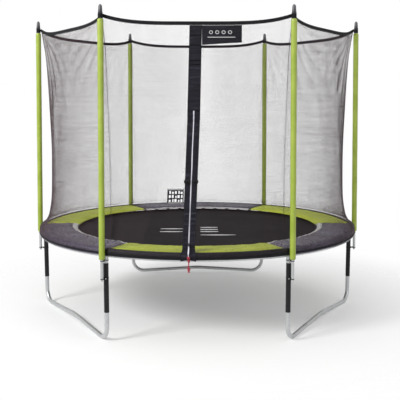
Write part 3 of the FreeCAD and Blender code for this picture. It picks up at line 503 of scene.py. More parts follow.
def net_finish():
    """Two sets of slanting threads with nothing between, denser when seen edge on."""
    cover, pitch = 0.042, 0.0045
    look = Look("knotted_net")
    across, up, _ = look.xyz(look.coord("UV"))
    geometry = look.tree.nodes.new("ShaderNodeNewGeometry")
    facing = look.node("ShaderNodeVectorMath",
                       (geometry.outputs["Incoming"], geometry.outputs["Normal"]),
                       out="Value", operation="DOT_PRODUCT")
    facing = look.math("MAXIMUM", look.math("ABSOLUTE", facing), 0.05)
    facing = look.math("POWER", facing, 1.1)
    cloud = look.noise(look.scaled(look.coord("UV"), (9, 2.2, 1)), scale=1, detail=4, rough=0.6)
    ribs = look.noise(look.scaled(look.coord("UV"), (0.9, 46, 1)), scale=1, detail=3, rough=0.6)
    vary = look.math("ADD", look.ramp(cloud, span=(0.3, 0.7), to=(0.86, 1.16)),
                     look.ramp(ribs, span=(0.38, 0.62), to=(-0.17, 0.17)))
    half = look.math("MULTIPLY", look.math("DIVIDE", vary, facing), cover * 0.5)
    half = look.math("MINIMUM", half, 0.40)

    def threads(slant):
        share = look.math("FRACT", look.math("DIVIDE", slant, pitch))
        off = look.math("ABSOLUTE", look.math("SUBTRACT", share, 0.5))
        return look.math("LESS_THAN", off, half)

    cover_here = look.math("MAXIMUM", threads(look.math("ADD", across, up)),
                           threads(look.math("SUBTRACT", across, up)))
    colour = look.mix(cloud, (0.030, 0.018, 0.022, 1), (0.085, 0.052, 0.062, 1))
    look.set(Base_Color=colour, Roughness=0.7, Specular_IOR_Level=0.15)
    look.output(look.see_through(cover_here))
    return look.material


def foam_finish():
    look = Look("lime_foam_sheath")
    place = look.coord()
    z = look.xyz(place)[2]
    big = look.noise(place, scale=7, detail=4, rough=0.6)
    fine = look.noise(look.scaled(place, (1, 1, 0.22)), scale=90, detail=4, rough=0.6)
    colour = look.mix(look.ramp(big, span=(0.35, 0.65)), srgb(146, 166, 50), srgb(164, 182, 72))
    specks = look.ramp(fine, span=(0.58, 0.8), to=(0, 0.35))
    colour = look.mix(specks, colour, srgb(116, 142, 40))
    normal = look.bump(fine, strength=0.35, distance=0.0012)
    dents = look.noise(look.scaled(place, (1, 1, 0.5)), scale=24, detail=3)
    normal = look.bump(dents, strength=0.4, distance=0.0035, normal=normal)
    rings = look.sine(z, TAU / 0.0032)
    normal = look.bump(rings, strength=0.06, distance=0.0003, normal=normal)
    return look.set(Base_Color=colour, Normal=normal,
                    Roughness=look.ramp(fine, span=(0.3, 0.7), to=(0.27, 0.42)),
                    Subsurface_Weight=0.12, Subsurface_Scale=0.01,
                    Coat_Weight=0.35, Coat_Roughness=0.2)


def cap_finish():
    look = Look("smoked_cap")
    place = look.coord()
    z = look.xyz(place)[2]
    specks = look.noise(place, scale=120)
    # Painted highlight: the colour lightens from dark grey at the cap's foot to lighter grey towards its
    # tip.
    colour = look.mix(look.ramp(z, span=(2.688, 2.744)), srgb(40, 40, 43), srgb(104, 104, 108))
    dust = look.ramp(specks, span=(0.5, 0.8), to=(0, 0.4))
    return look.set(Base_Color=look.mix(dust, colour, srgb(60, 60, 64)),
                    Roughness=look.ramp(specks, span=(0.3, 0.7), to=(0.22, 0.38)),
                    Specular_IOR_Level=0.4,
                    Normal=look.bump(specks, strength=0.1, distance=0.0004))


def mat_finish():
    pitch = 0.0024
    look = Look("jumping_mat_weave")
    place = look.coord()
    weave = look.weave(place, pitch)
    x, y, _ = look.xyz(place)
    over = look.math("MULTIPLY", look.sine(x, pi / pitch), look.sine(y, pi / pitch))
    big = look.noise(place, scale=2.2, detail=5, rough=0.6)
    streak = look.noise(look.scaled(place, (0.6, 14, 1)), scale=3, detail=4, rough=0.6)
    colour = look.mix(look.ramp(over, span=(-1, 1)), srgb(21, 20, 22), srgb(37, 35, 37))
    pale = look.ramp(big, span=(0.4, 0.7), to=(0, 0.35))
    colour = look.mix(pale, colour, srgb(42, 40, 41))
    dark = look.ramp(streak, span=(0.5, 0.75), to=(0, 0.3))
    colour = look.mix(dark, colour, srgb(19, 18, 20))
    normal = look.bump(weave, strength=0.3, distance=0.0007)
    return look.set(Base_Color=colour,
                    Roughness=look.ramp(big, span=(0.3, 0.7), to=(0.7, 0.85)),
                    Normal=look.bump(big, strength=0.3, distance=0.01, normal=normal),
                    Specular_IOR_Level=0.10)


def cord(name, base):
    look = Look(name)
    x, _, z = look.xyz(look.coord())
    rate = TAU / 0.006
    slant = look.math("ADD", look.math("MULTIPLY", z, rate), look.math("MULTIPLY", x, rate))
    twist = look.math("SINE", slant)
    # Painted shade: the colour darkens to about half in the grooves of the twist.
    return look.set(Base_Color=look.mix(look.ramp(twist, span=(-1, 1)), shade(base, 0.55), base),
                    Roughness=0.7, Sheen_Weight=0.4,
                    Normal=look.bump(twist, strength=0.5, distance=0.0008))


FINISH = {
    "galvanised": metal("galvanised_tube_finish", (0.68, 0.69, 0.70, 1), rough=0.34, scale=1),
    "zinc": metal("zinc_spring_finish", (0.72, 0.72, 0.71, 1), rough=0.28, scale=2),
    "foam": foam_finish(),
    "black_sleeve": plastic("black_leg_sleeve_finish", srgb(20, 20, 23), rough=0.34),
    "cap": cap_finish(),
    "black_plastic": plastic("black_plastic_finish", srgb(12, 12, 14), rough=0.5),
    "mat": mat_finish(),
    "lime": vinyl("lime_pad_vinyl", srgb(190, 202, 62), rough=0.45,
                  mottle_and_glint=0.10, crease=0.30, gloss=0.25),
    "dark": vinyl("black_pad_vinyl", srgb(94, 88, 106), rough=0.26,
                  mottle_and_glint=0.55, crease=0.9, gloss=0.7, band=(1.176, 1.221)),
    # Darker copy of the black pad vinyl for the back pad: painted shade.
    "dark_painted_shade_back": vinyl("black_pad_vinyl_painted_shade_back", srgb(78, 73, 88), rough=0.28,
                       mottle_and_glint=0.50, crease=0.8, gloss=0.5, band=(1.1685, 1.179)),
    "skirt": vinyl("black_skirt_vinyl", srgb(24, 23, 30), rough=0.36,
                   mottle_and_glint=0.35, crease=0.6, gloss=0.3),
    # Lighter copy of the black skirt vinyl for the two side skirts: painted reflection.
    "side_skirt": vinyl("black_skirt_vinyl_painted_reflection", srgb(80, 75, 92), rough=0.28,
                        mottle_and_glint=0.50, crease=0.7, gloss=0.4),
    "net": net_finish(),
    "webbing": fabric("black_webbing_weave", srgb(20, 20, 23), pitch=0.0016, rough=0.75),
    "strip": fabric("black_door_cloth", srgb(27, 26, 36), pitch=0.0009, rough=0.62, cross=1.0),
    "panel": fabric("black_panel_cloth", srgb(28, 27, 35), pitch=0.0009, rough=0.65, cross=0.5),
    "zip": fabric("zip_tape_weave", srgb(214, 212, 226), pitch=0.0008, rough=0.6),
    "teeth": plastic("zip_teeth_plastic", srgb(226, 224, 236), rough=0.35),
    "slider": metal("slider_finish", (0.10, 0.10, 0.11, 1), rough=0.4, scale=3),
    "red": cord("red_pull_cord", srgb(196, 12, 52)),
    "print": plastic("pale_print", srgb(226, 226, 226), rough=0.55),
    "thread_dark": cord("grey_thread", srgb(66, 65, 72)),
    "tag": fabric("tag_cloth", srgb(30, 29, 36), pitch=0.0008, rough=0.7),
}


# ------------------------------------------------------------------ finishes of the CAD pieces
def dress(nodes, finish):
    for node in nodes:
        slots = NODES[node].data.materials
        slots.clear()
        slots.append(FINISH[finish])


TUBES = ("leg_uprights", "pole_lower_tubes", "pole_upper_tubes")
dress([node for node in NODES
       if node.startswith(("frame_rail", "leg_base")) or node in TUBES], "galvanised")
dress(("clamp_bolts", "clamp_nuts", "mat_v_rings"), "zinc")
dress(("pole_caps",), "cap")

# ------------------------------------------------------------------ net, in millimetres
# (level, radius) of the net at a pole, at the middle of a bay, and above the door. A level is
# a height before the net is pulled down to the dipping top band.
CORNER = [(737, 1531.5), (796, 1531.5), (810, 1527), (822, 1510), (840, 1488), (870, 1466),
          (924, 1445), (1120, 1427), (1413, 1424), (1902, 1438), (2391, 1462), (2560, 1486),
          (2644, 1499)]
MIDDLE = [(737, 1531.5), (796, 1531.5), (810, 1527), (822, 1510), (840, 1488), (870, 1466),
          (924, 1440), (1120, 1404), (1413, 1388), (1902, 1366), (2391, 1336), (2560, 1322),
          (2644, 1317)]
FRONT_TOP = [(1868, 1376), (2391, 1337), (2560, 1322), (2644, 1317)]
NET_FOOT, NET_TOP = 752, 2644
NET_THICK = 1.0
HEM_RADIUS = 1531.5
BAND_Z, BAND_DIP, BAND_WIDTH = 2666.0, 62.0, 24.0  # height at the poles, dip between them
DOOR_FOOT, DOOR_HEAD = 835.0, 1868.0  # heights
DOOR_FOOT_R, DOOR_HEAD_R = 1470, 1376  # distances in front of the axis
DOOR_HALF = 450  # half the width of the door's foot
SLOPE = (DOOR_FOOT_R - DOOR_HEAD_R) / (DOOR_HEAD - DOOR_FOOT)
DOOR_NORMAL = np.array([0, -1, SLOPE]) / np.hypot(1, SLOPE)
ACROSS_BAY = linspace(-29.95, 29.95, 73)  # degrees from the middle of the bay


def from_table(table, level):
    """Monotone cubic through a table of (level, radius), level beyond its ends."""
    heights, radii = np.array(table, float).T
    gaps = np.diff(heights)
    slopes = np.diff(radii) / gaps
    before, after = slopes[:-1], slopes[1:]
    joint = np.where(before * after <= 0, 0, 2 * before * after / (before + after))
    tangent = np.concatenate([slopes[:1], joint, slopes[-1:]])
    level = clip(level, heights[0], heights[-1])
    cell = np.maximum(np.searchsorted(heights, level) - 1, 0)
    gap = gaps[cell]
    q = (level - heights[cell]) / gap
    rise = 3 * q**2 - 2 * q**3
    return (radii[cell] * (1 - rise) + radii[cell + 1] * rise
            + (q**3 - 2 * q**2 + q) * gap * tangent[cell]
            + (q**3 - q**2) * gap * tangent[cell + 1])


def spread(rel):
    """0 at the middle of a bay to 1 at its poles, as on a straight side."""
    return (1 / cos(radians(rel)) - 1) / (1 / cos(radians(30)) - 1)


def band_z(rel):
    x = np.tan(radians(rel)) / np.tan(radians(30))
    return BAND_Z - BAND_DIP * (1 - x**4)


def hem_wave(azimuth):
    """Radial ripple of the skirt and the net's hem, 0 at every pole."""
    angle = radians(azimuth)
    from_pole = np.abs(np.asarray(azimuth, float) % 60 - 30)
    ripple = 0.9 + 0.9 * sin(angle * 41 + 1.0) * sin(angle * 17) + 0.5 * sin(angle * 97 + 0.4)
    return ease(from_pole, 2.5, 8.0) * ripple


def folds(rel, level, seed):
    """Slack folds that fan out of the top corners and hang down, inwards only."""
    fan = 0
    for end in (-1, 1):
        across, down = (30 - end * rel) / 30.0, (2700 - level) / 900.0
        angle = np.arctan2(across * 0.75, np.maximum(down, 0.02))
        dist = np.hypot(across, down * 0.8)
        ridge = 0.5 + 0.5 * sin(angle * 24 + seed + 1.5 * sin(dist * 5 + seed))
        fan = fan + ridge**2 * exp(-(((dist - 0.34) / 0.50) ** 2)) * 15.0
    slow = waves(rel / 60, level / 2600, seed, count=6, per_u=(1.0, 5.0), per_v=(0.3, 2.0))
    high = clip((level - 1500) / 1144, 0, 1)
    body = ease(level, 840, 1050) * (1 - ease(level, 2480, 2640))
    edge = ease(30 - np.abs(rel), 0, 3)
    return -(fan * high + (2.6 + 2.6 * slow) * body) * edge


def bay_radius(middle, rel, level):
    centre = from_table(middle, level)
    return centre + (from_table(CORNER, level) - centre) * spread(rel)


def under_band(rel, level, start):
    """Heights of levels, drawn down above start so that the net ends under the band."""
    top = band_z(rel) - BAND_WIDTH / 2 - 0.5
    share = clip((level - start) / (NET_TOP - start), 0, 1)
    return level - (NET_TOP + 0.5 - top) * share**1.5


def bay_point(mid, rel, level, out):
    radius = bay_radius(MIDDLE, rel, level) + folds(rel, level, mid + 3)
    radius = radius + hem_wave(mid + rel) * (1 - ease(level, 800, 822)) + out
    start = NET_FOOT + 0.35 * (NET_TOP - NET_FOOT)
    return polar_mm(mid + rel, radius, under_band(rel, level, start))


def above_door(rel, level, out, fold=0.0):
    radius = bay_radius(FRONT_TOP, rel, level) + out
    if fold:
        radius = radius + folds(rel, level, 5) * ease(level, 1880, 2000) * fold
    return polar_mm(rel, radius, under_band(rel, level, 1872.0))


def below_door(rel, z, out):
    """Front bay's hem, flat between the door's lower corners."""
    corner = np.degrees(np.arctan2(DOOR_HALF, DOOR_FOOT_R))
    wide = np.abs(rel)
    share = clip((wide - corner) / (30 - corner), 0, 1)
    flat = DOOR_FOOT_R / cos(radians(np.minimum(wide, corner)))
    top = (1 - share) * flat + share * from_table(CORNER, 829) + 8
    rise = ease(z, 796, 829)
    radius = HEM_RADIUS + (top - HEM_RADIUS) * rise + hem_wave(rel) * (1 - rise)
    return polar_mm(rel, radius + out, z)


def cloth_uv(grid):
    """Lengths across and up the net, in metres."""
    across, up = (np.linalg.norm(np.diff(grid, axis=axis), axis=2) for axis in (0, 1))
    across = np.pad(np.cumsum(across, 0), ((1, 0), (0, 0))).mean(1, keepdims=True)
    up = np.pad(np.cumsum(up, 1), ((0, 0), (1, 0)))
    return stack(np.broadcast_arrays(across, up), -1)


def net_piece(name, surface):
    """surface gives the grid at a distance outwards."""
    outer = surface(0.0)
    return shell(name, outer, surface(-NET_THICK), "net", cloth_uv(outer))


levels = np.unique(np.concatenate([linspace(NET_FOOT, 900, 34), linspace(900, NET_TOP, 92)]))
rel, level = crossed(ACROSS_BAY, levels)
for word, mid in BAYS.items():
    if word != "front":
        piece = net_piece(f"net_{word}_mesh", lambda out: bay_point(mid, rel, level, out))
        attach(piece, "frame", "net_mesh", f"net_{word}")

rel, level = crossed(ACROSS_BAY, linspace(1870, NET_TOP, 60))
attach(net_piece("net_above_door_mesh", lambda out: above_door(rel, level, out, fold=0.8)),
       "frame", "net_mesh", "net_above_door")

heights = np.unique(np.concatenate([linspace(NET_FOOT, 796, 7), linspace(796, 829.5, 14)]))
rel, z = crossed(linspace(-29.95, 29.95, 121), heights)
attach(net_piece("net_door_hem_mesh", lambda out: below_door(rel, z, out)),
       "frame", "net_mesh", "net_door_hem")

# tape along the lower edge of the whole net
pile = Pile()
for mid in BAYS.values():
    azimuth, z = crossed(linspace(-29.9, 29.9, 121) + mid, linspace(753, 768, 4))
    radius = HEM_RADIUS + 0.7 + hem_wave(azimuth)
    pile.shell(polar_mm(azimuth, radius, z), polar_mm(azimuth, radius - 0.6, z))
attach(pile.build("net_hem_tape", "webbing"), "frame", "black_webbing")

# ------------------------------------------------------------------ net door, in millimetres
ZIP_FOOT_X, ZIP_HEAD_X = -70, -28  # at the foot and the head of the door


def door_y(z):
    return -(DOOR_FOOT_R - (z - DOOR_FOOT) * SLOPE)


def zip_x(z):
    """The zip's line, carried on up to the top band."""
    z = np.asarray(z, float)
    return np.where(z <= DOOR_HEAD,
                    ZIP_FOOT_X + (ZIP_HEAD_X - ZIP_FOOT_X) * (z - 836.0) / 1032.0,
                    ZIP_HEAD_X + 16 * (z - DOOR_HEAD) / 772.0)


def hinge_x(side, z):
    """Distance of a hinge line from x = 0."""
    head = 58 - 28 * side
    return head + (DOOR_HALF - head) * (DOOR_HEAD - z) / (DOOR_HEAD - DOOR_FOOT)


def door_point(side, across, z, out=0.0):
    """across is the distance from the zip's line on that side, out the height off the door."""
    flat = points(zip_x(z) + side * across, door_y(z), z)
    return (flat + np.multiply.outer(out, DOOR_NORMAL)) / 1000


def slack(share, levels, depth, seed, per_u, calm_from):
    """Inward slack between two held edges."""
    ripple = waves(share, levels / 1100, seed, count=5, per_u=per_u, per_v=(0.6, 2.2))
    held = ease(levels, 850, 950) * (1 - ease(levels, calm_from, 1860))
    return depth * (1 + ripple) * sin(pi * share) * held


def side_net(side, levels, out):
    """Bowed net from the pole to the hinge line, then the door's flap to its strip."""
    bow_radius = 1420.0
    pole_angle = radians(29.97)
    share = linspace(0, 1, 26)[:-1, None]
    pole_r = from_table(CORNER, levels) + out
    pole_x, pole_y = -pole_r * sin(pole_angle), -pole_r * cos(pole_angle)
    run_x = -hinge_x(side, levels) - pole_x
    run_y = door_y(levels) - out - pole_y
    bow = np.hypot(run_x, run_y) * share * (1 - share) / (2 * bow_radius)
    x = -side * (pole_x + run_x * share + run_y * bow)
    y = pole_y + run_y * share - run_x * bow
    y = y + slack(share, levels, depth=2.2, seed=31 + side, per_u=(1, 4), calm_from=1780)
    beside = points(x, y, levels) / 1000

    share = linspace(0, 1, 24)[:, None]
    strip_edge = 48.5
    hinge = hinge_x(side, levels) - side * zip_x(levels)
    flap = door_point(side, hinge + (strip_edge - hinge) * share, levels, out)
    inward = slack(share, levels, depth=1.2, seed=77 + side, per_u=(1, 3), calm_from=1700)
    flap[..., 1] += inward / 1000
    return vstack([beside, flap])


def door_weights(piece, side):
    """Rises across the hinge line, and fades to 0 where the door meets the net above."""
    x, _, z = get_places(piece).T * 1000
    past_hinge = hinge_x(side, z) - side * x
    return ease(past_hinge, -26, 44) * (1 - ease(z, 1640, 1864))


levels = np.unique(np.concatenate([linspace(831.5, 900, 16), linspace(900, 1869, 62)]))
for word, side in DOOR_SIDES.items():
    piece = net_piece(f"net_door_{word}_mesh", lambda out: side_net(side, levels, out))
    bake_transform(piece, "frame", f"door_{word}",
             start=(side * 0.47, -1.47, 1.0), end=(side * 0.40, -1.47, 1.0))
    set_weights(piece, door_weights(piece, side))
    label(piece, "net_mesh", f"net_beside_door_{word}", f"door_flap_{word}")

# ------------------------------------------------------------------ door strips and zip
SEAMS = (1129.0, 1508.0)
STRIP_HEIGHTS = linspace(836, 1866, 230)
STITCH_RADIUS = 0.00045


def hang_on_door(piece, word, slot, *replaced):
    """Follows the door below, and the frame where it is sewn to the header."""
    label(piece, slot, *replaced)
    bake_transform(piece, f"door_{word}", "frame", start=(0, -1.4, 1.640), end=(0, -1.4, 1.864))


def seam_relief(z, seams, crest, dip, below, dip_width):
    """Raised seams, each with a dip a little below it."""
    return sum(crest * exp(-(((z - seam) / 6.0) ** 2))
               - dip * exp(-(((z - seam + below) / dip_width) ** 2)) for seam in seams)


def strip_relief(side, across, z):
    wrinkles = waves(across / 120, z / 300, seed=11 + side, count=9,
                     per_u=(0.1, 1.2), per_v=(1.5, 9.0))
    return 0.75 * wrinkles + seam_relief(z, SEAMS + (1835.0,), crest=2.2, dip=1.0,
                                         below=13, dip_width=5.5)


def strip_inner_edge(side, z):
    return 4.6 + 1.3 * waves(0 * z, z / 500, seed=90 + side, count=5,
                             per_u=(0, 0.1), per_v=(0.6, 2.6))


def strip_cloth(word, side):
    share, z = crossed(linspace(0, 1, 12), STRIP_HEIGHTS)
    start = strip_inner_edge(side, STRIP_HEIGHTS)[None]
    across = start + (50.0 - start) * share
    lift = 0.8 + 0.9 * sin(pi * share) + 0.7 * strip_relief(side, across, z)
    piece = shell(f"door_strip_{word}_cloth", door_point(side, across, z, lift),
                  door_point(side, across, z, -1.0), "strip")
    hang_on_door(piece, word, "black_webbing", f"door_strip_{word}")


def strip_edges(word, side):
    """Rolled edges, and a rope over each seam."""
    pile = Pile()
    z = STRIP_HEIGHTS[1:-1]
    for near, across, radius in ((0.9, strip_inner_edge(side, z) + 0.9, 0.00115),
                                 (49.2, 49.2, 0.0013)):
        lift = 0.9 + 0.5 * strip_relief(side, near, z)
        pile.tube(door_point(side, across, z, lift), radius, 6)
    across = linspace(6.5, 49.5, 12)
    for seam in SEAMS + (1838.0,):
        pile.tube(door_point(side, across, seam + 1.2 * sin(across / 7.0), 2.9), 0.0024, 7)
    hang_on_door(pile.build(f"door_strip_{word}_edges", "webbing"), word, "black_webbing")


def strip_stitches(word, side):
    pile = Pile()
    z = np.arange(838, 1864, 2.0)
    for across in (11.5, 45.5):
        lift = 0.8 + 0.9 * sin(pi * (across - 6.1) / 43.9) + 0.75 * sin(TAU * z / 8.0)
        lift = lift + 0.7 * strip_relief(side, across, z)
        pile.tube(door_point(side, across, z, lift), STITCH_RADIUS, 4)
    hang_on_door(pile.build(f"door_strip_{word}_stitches", "thread_dark"), word, "black_webbing")


def zip_tape(word, side):
    across, z = crossed(linspace(0.9, 6.0, 4), linspace(836.5, 1862, 180))
    piece = shell(f"zip_tape_{word}", door_point(side, across, z, 0.4),
                  door_point(side, across, z, -0.9), "zip")
    hang_on_door(piece, word, "zip_tape", f"zip_half_{word}")


def zip_teeth(word, side):
    """Each tooth joins three oblongs of (distance from zip, half height, thickness)."""
    sections = ((3.0, 1.0, 1.5), (1.6, 1.1, 1.9), (0.35, 0.75, 1.5))
    pitch = 4.0
    faces = [[a + b, a + (b + 1) % 4, a + 4 + (b + 1) % 4, a + 4 + b]
             for a in (0, 4) for b in range(4)] + [[3, 2, 1, 0], [8, 9, 10, 11]]
    pile = Pile()
    for z in np.arange(840 if side > 0 else 840 + pitch / 2, 1860, pitch):
        corners = [door_point(side, across, z + up, out)
                   for across, half, thick in sections
                   for up, out in ((-half, 0.6 - thick), (half, 0.6 - thick),
                                   (half, thick), (-half, thick))]
        pile.add(np.array(corners), faces)
    hang_on_door(pile.build(f"zip_teeth_{word}", "teeth", smooth=False), word, "zip_tape")


for word, side in DOOR_SIDES.items():
    for make in (strip_cloth, strip_edges, strip_stitches, zip_tape, zip_teeth):
        make(word, side)


# ------------------------------------------------------------------ foot of the door
def foot_point(x, z, out):
    """On the hem's surface, carried straight up past the strips' lower ends."""
    return below_door(np.degrees(np.arcsin((ZIP_FOOT_X + x) / 1500.0)), z, out)


def foot_flare(z):
    return 9.0 * ease(z, 822, 790)


def foot_patch():
    """Black patch that carries the strips down over the pad's edge."""
    heights = np.concatenate([linspace(736, 829.5, 46), linspace(831, 840.5, 6)])
    x, z = crossed(linspace(-1, 1, 19), heights)
    x = x * (51.5 + foot_flare(z))
    z = np.where(z < 750, 750 - (750 - z) * (0.45 + 0.75 * np.abs(x / 60) ** 1.5), z)
    ripple = 0.6 * sin(x / 8.0) * ease(z, 812, 752) + 0.35 * waves(
        x / 90, z / 60, seed=3, count=5, per_u=(0.2, 1.5), per_v=(0.3, 1.5))
    attach(shell("door_foot_patch", foot_point(x, z, 2.0 + ripple), foot_point(x, z, 0.5),
                 "strip"), "frame", "black_webbing")
    pile = Pile()
    z = heights[2:-1]
    for side in (-1, 1):
        pile.tube(foot_point(side * (50.5 + foot_flare(z)), z, 2.2), 0.0013, 6)
    attach(pile.build("door_foot_edges", "webbing"), "frame", "black_webbing")


def foot_zip():
    pile = Pile()
    for middle in (-2.9, 2.9):
        x, z = crossed(linspace(middle - 2.4, middle + 2.4, 4), linspace(792, 839.5, 30))
        pile.shell(foot_point(x, z, 3.6), foot_point(x, z, 2.4))
    attach(pile.build("zip_foot_tape", "zip"), "frame", "zip_tape")


foot_patch()
foot_zip()

# ------------------------------------------------------------------ toggles
TOGGLE_ACROSS, TOGGLE_Z = 33.0, 1359.0
BAR_SIZE = (0.051, 0.030, 0.0125)  # length, height and depth, metres


def signed_power(values, power):
    return np.sign(values) * np.abs(values) ** power


def toggle_bar(word, side):
    """Superellipse bar with domed ends and a groove round its middle."""
    rings, seg = 20, 16
    length, height, depth = BAR_SIZE
    axis = np.array([1, 0, -0.05 * side])
    axis /= np.linalg.norm(axis)
    up = np.array([0, 0, 1.0]) - axis * axis[2]
    up /= np.linalg.norm(up)
    along = linspace(-1, 1, rings)
    groove = 1 - 0.22 * exp(-((along / 0.16) ** 2))
    swell = np.maximum((1 - np.abs(along) ** 4) ** 0.25 * groove, 0.02)
    rise = signed_power(cos(turn(seg)), 0.7) * height / 2
    reach = signed_power(sin(turn(seg)), 0.7) * depth / 2
    section = np.multiply.outer(rise, up) + np.multiply.outer(reach, np.cross(axis, up))
    verts = (door_point(side, TOGGLE_ACROSS, TOGGLE_Z, 8.2)
             + axis * (along[:, None, None] * length / 2) + swell[:, None, None] * section)
    faces = grid_faces(rings, seg, False, True).tolist()
    faces += [list(range(seg))[::-1], list(range((rings - 1) * seg, rings * seg))]
    piece = build_mixed(f"door_toggle_{word}_bar", verts.reshape(-1, 3), faces, "black_plastic")
    attach(piece, f"door_{word}", "black_plastic", f"door_toggle_{word}")


def toggle_loop(word, side):
    pile = Pile()
    across, z = crossed(linspace(24, 37, 5), linspace(1343, 1375, 14))
    lift = 2.2 + 12.8 * clip(1 - ((z - TOGGLE_Z) / 15.5) ** 2, 0, 1) ** 0.5
    pile.shell(door_point(side, across, z, lift + 0.8), door_point(side, across, z, lift))
    attach(pile.build(f"door_toggle_{word}_loop", "webbing"), f"door_{word}", "black_plastic")


for word, side in DOOR_SIDES.items():
    toggle_bar(word, side)
    toggle_loop(word, side)


# ------------------------------------------------------------------ tag left of the zip
def tag_point(across, z, out):
    curl = 1.2 * waves(across / 200, z / 200, seed=4, count=4,
                       per_u=(0.5, 1.5), per_v=(0.5, 1.5))
    return door_point(-1, across, z, out + curl)


def tag_cloth():
    across, z = crossed(linspace(56, 186, 16), linspace(1184, 1302, 14))
    attach(shell("door_tag_cloth", tag_point(across, z, 2.4), tag_point(across, z, 1.5), "tag"),
           "door_left", "black_webbing", "door_tag")


def tag_marks():
    """A pale line along the top and the bottom, and three rows of five blocks."""
    marks = [(60, 1294, 122, 3), (60, 1189, 122, 3)]  # start, foot, width, height
    for row in range(3):
        for col in range(5):
            width = (15, 12, 17, 11, 15)[(row + col) % 5]
            height = (22, 17, 24)[(row * 2 + col) % 3]
            marks.append((64 + col * 23.5, 1198 + row * 32, width, height))
    pile = Pile()
    for start, foot, width, height in marks:
        across, z = crossed(linspace(start, start + width, max(3, int(width / 8) + 2)),
                            linspace(foot, foot + height, max(3, int(height / 8) + 2)))
        pile.shell(tag_point(across, z, 2.9), tag_point(across, z, 2.3))
    attach(pile.build("door_tag_marks", "print", smooth=False), "door_left", "black_webbing")


tag_cloth()
tag_marks()

# ------------------------------------------------------------------ header above the door
HEAD_SEAMS = (1925.0, 2309.0, 2344.0, 2473.0, 2560.0)


def upper_point(x, level, out):
    """On the net above the door, by distance from x = 0."""
    return above_door(np.degrees(np.arcsin(x / 1350.0)), level, out)


def header_point(x, level, out):
    return upper_point(x + zip_x(level), level, out)


def header_strip():
    x, level = crossed(linspace(-50, 50, 15), linspace(1870, 2641, 230))
    relief = 1.5 * waves(x / 150, level / 300, seed=21, count=10,
                         per_u=(0.1, 1.0), per_v=(1.5, 9.0))
    relief = relief + seam_relief(level, HEAD_SEAMS, crest=4.0, dip=1.8, below=14, dip_width=6.0)
    attach(shell("door_header_cloth", header_point(x, level, 2.9 + relief),
                 header_point(x, level, 0.6), "strip"),
           "frame", "black_webbing", "door_header_strip")


def header_edges():
    """Rolled edges, stitch rows and a rope over each cross seam."""
    pile = Pile()
    level = linspace(1871, 2640, 120)
    for x in (-49, 49):
        pile.tube(header_point(x, level, 2.0), 0.0014, 6)
    level = np.arange(1873, 2638, 2.0)
    for x in (-45, 45):
        pile.tube(header_point(x, level, 2.9 + 0.7 * sin(TAU * level / 8)), STITCH_RADIUS, 4)
    x = linspace(-49.5, 49.5, 22)
    for seam in HEAD_SEAMS:
        pile.tube(header_point(x, seam + 2.0 * sin(x / 11.0 + seam), 6.0), 0.0034, 7)
    attach(pile.build("door_header_edges", "webbing"), "frame", "black_webbing")


def head_point(x, out, z):
    """In front of the door's head; above it x stays in line with the head."""
    return points(zip_x(np.minimum(z, DOOR_HEAD)) + x, -DOOR_HEAD_R - out, z) / 1000


def header_hem():
    """Turned hem over the top of the door."""
    x, z = crossed(linspace(-50.5, 50.5, 17), linspace(1846, 1884, 12))
    ripple = 0.4 * waves(x / 120, z / 60, seed=17, count=5, per_u=(0.3, 2), per_v=(0.2, 1))
    outer = head_point(x, 5.4 + ripple + 0.05 * (z - DOOR_HEAD), z)
    attach(shell("door_header_hem", outer, outer + np.array([0, 0.0013, 0]), "strip"),
           "frame", "black_webbing")
    pile = Pile()
    for z in (1847.5, 1882.5):
        pile.tube(head_point(linspace(-50, 50, 30), 5.6 + 0.05 * (z - DOOR_HEAD), z), 0.0012, 6)
    attach(pile.build("door_header_hem_edges", "webbing"), "frame", "black_webbing")


def head_zip():
    """Closed end of the zip above the door."""
    pile = Pile()
    for middle in (-2.7, 2.7):
        x, z = crossed(linspace(middle - 2.2, middle + 2.2, 4), linspace(1848, 1919, 30))
        out = 7.6 + 0.5 * sin((z - 1848) / 12.0) - 0.02 * (z - 1848)
        out = np.maximum(out, from_table(FRONT_TOP, z) + 5.5 - DOOR_HEAD_R)
        outer = head_point(x, out, z)
        pile.shell(outer, outer + np.array([0, 0.0012, 0]))
    attach(pile.build("zip_head_tape", "zip"), "frame", "zip_tape")


header_strip()
header_edges()
header_hem()
head_zip()


# ------------------------------------------------------------------ panel right of the header
def panel_foot(x):
    return 2490 - 20 * (1 - (x - 38) / 312) ** 1.3


def panel_cloth():
    x, share = crossed(linspace(38, 350, 40), linspace(0, 1, 24))
    level = panel_foot(x) + (2640 - panel_foot(x)) * share
    relief = 1.2 * waves(x / 300, level / 200, seed=8, count=7,
                         per_u=(0.6, 3.0), per_v=(0.4, 1.6))
    attach(shell("door_panel_cloth", upper_point(x, level, 2.4 + relief),
                 upper_point(x, level, 1.1 + 0.8 * relief), "panel"),
           "frame", "black_webbing", "door_blank_panel")


def panel_motif():
    """Four rings over a bar."""
    pile = Pile()
    ring, angle = 13.0, turn(28)
    for x in (110, 160, 210, 260):
        path = upper_point(x + ring * cos(angle), 2580 + ring * sin(angle), 3.6)
        pile.tube(path, 0.0022, 5, closed=True)
    pile.tube(upper_point(linspace(84, 300, 40), 2537, 3.6), 0.0024, 5)
    attach(pile.build("door_panel_motif", "print"), "frame", "black_webbing")


def panel_edges():
    pile = Pile()
    x = linspace(40, 349, 60)
    pile.tube(upper_point(x, panel_foot(x) + 2, 2.4), 0.0018, 6)
    pile.tube(upper_point(348, linspace(2492, 2638, 30), 2.4), 0.0018, 6)
    attach(pile.build("door_panel_edges", "webbing"), "frame", "black_webbing")


panel_cloth()
panel_motif()
panel_edges()


# ------------------------------------------------------------------ top band
def band_radius(rel):
    return 1318 + (1502 - 1318) * spread(rel)


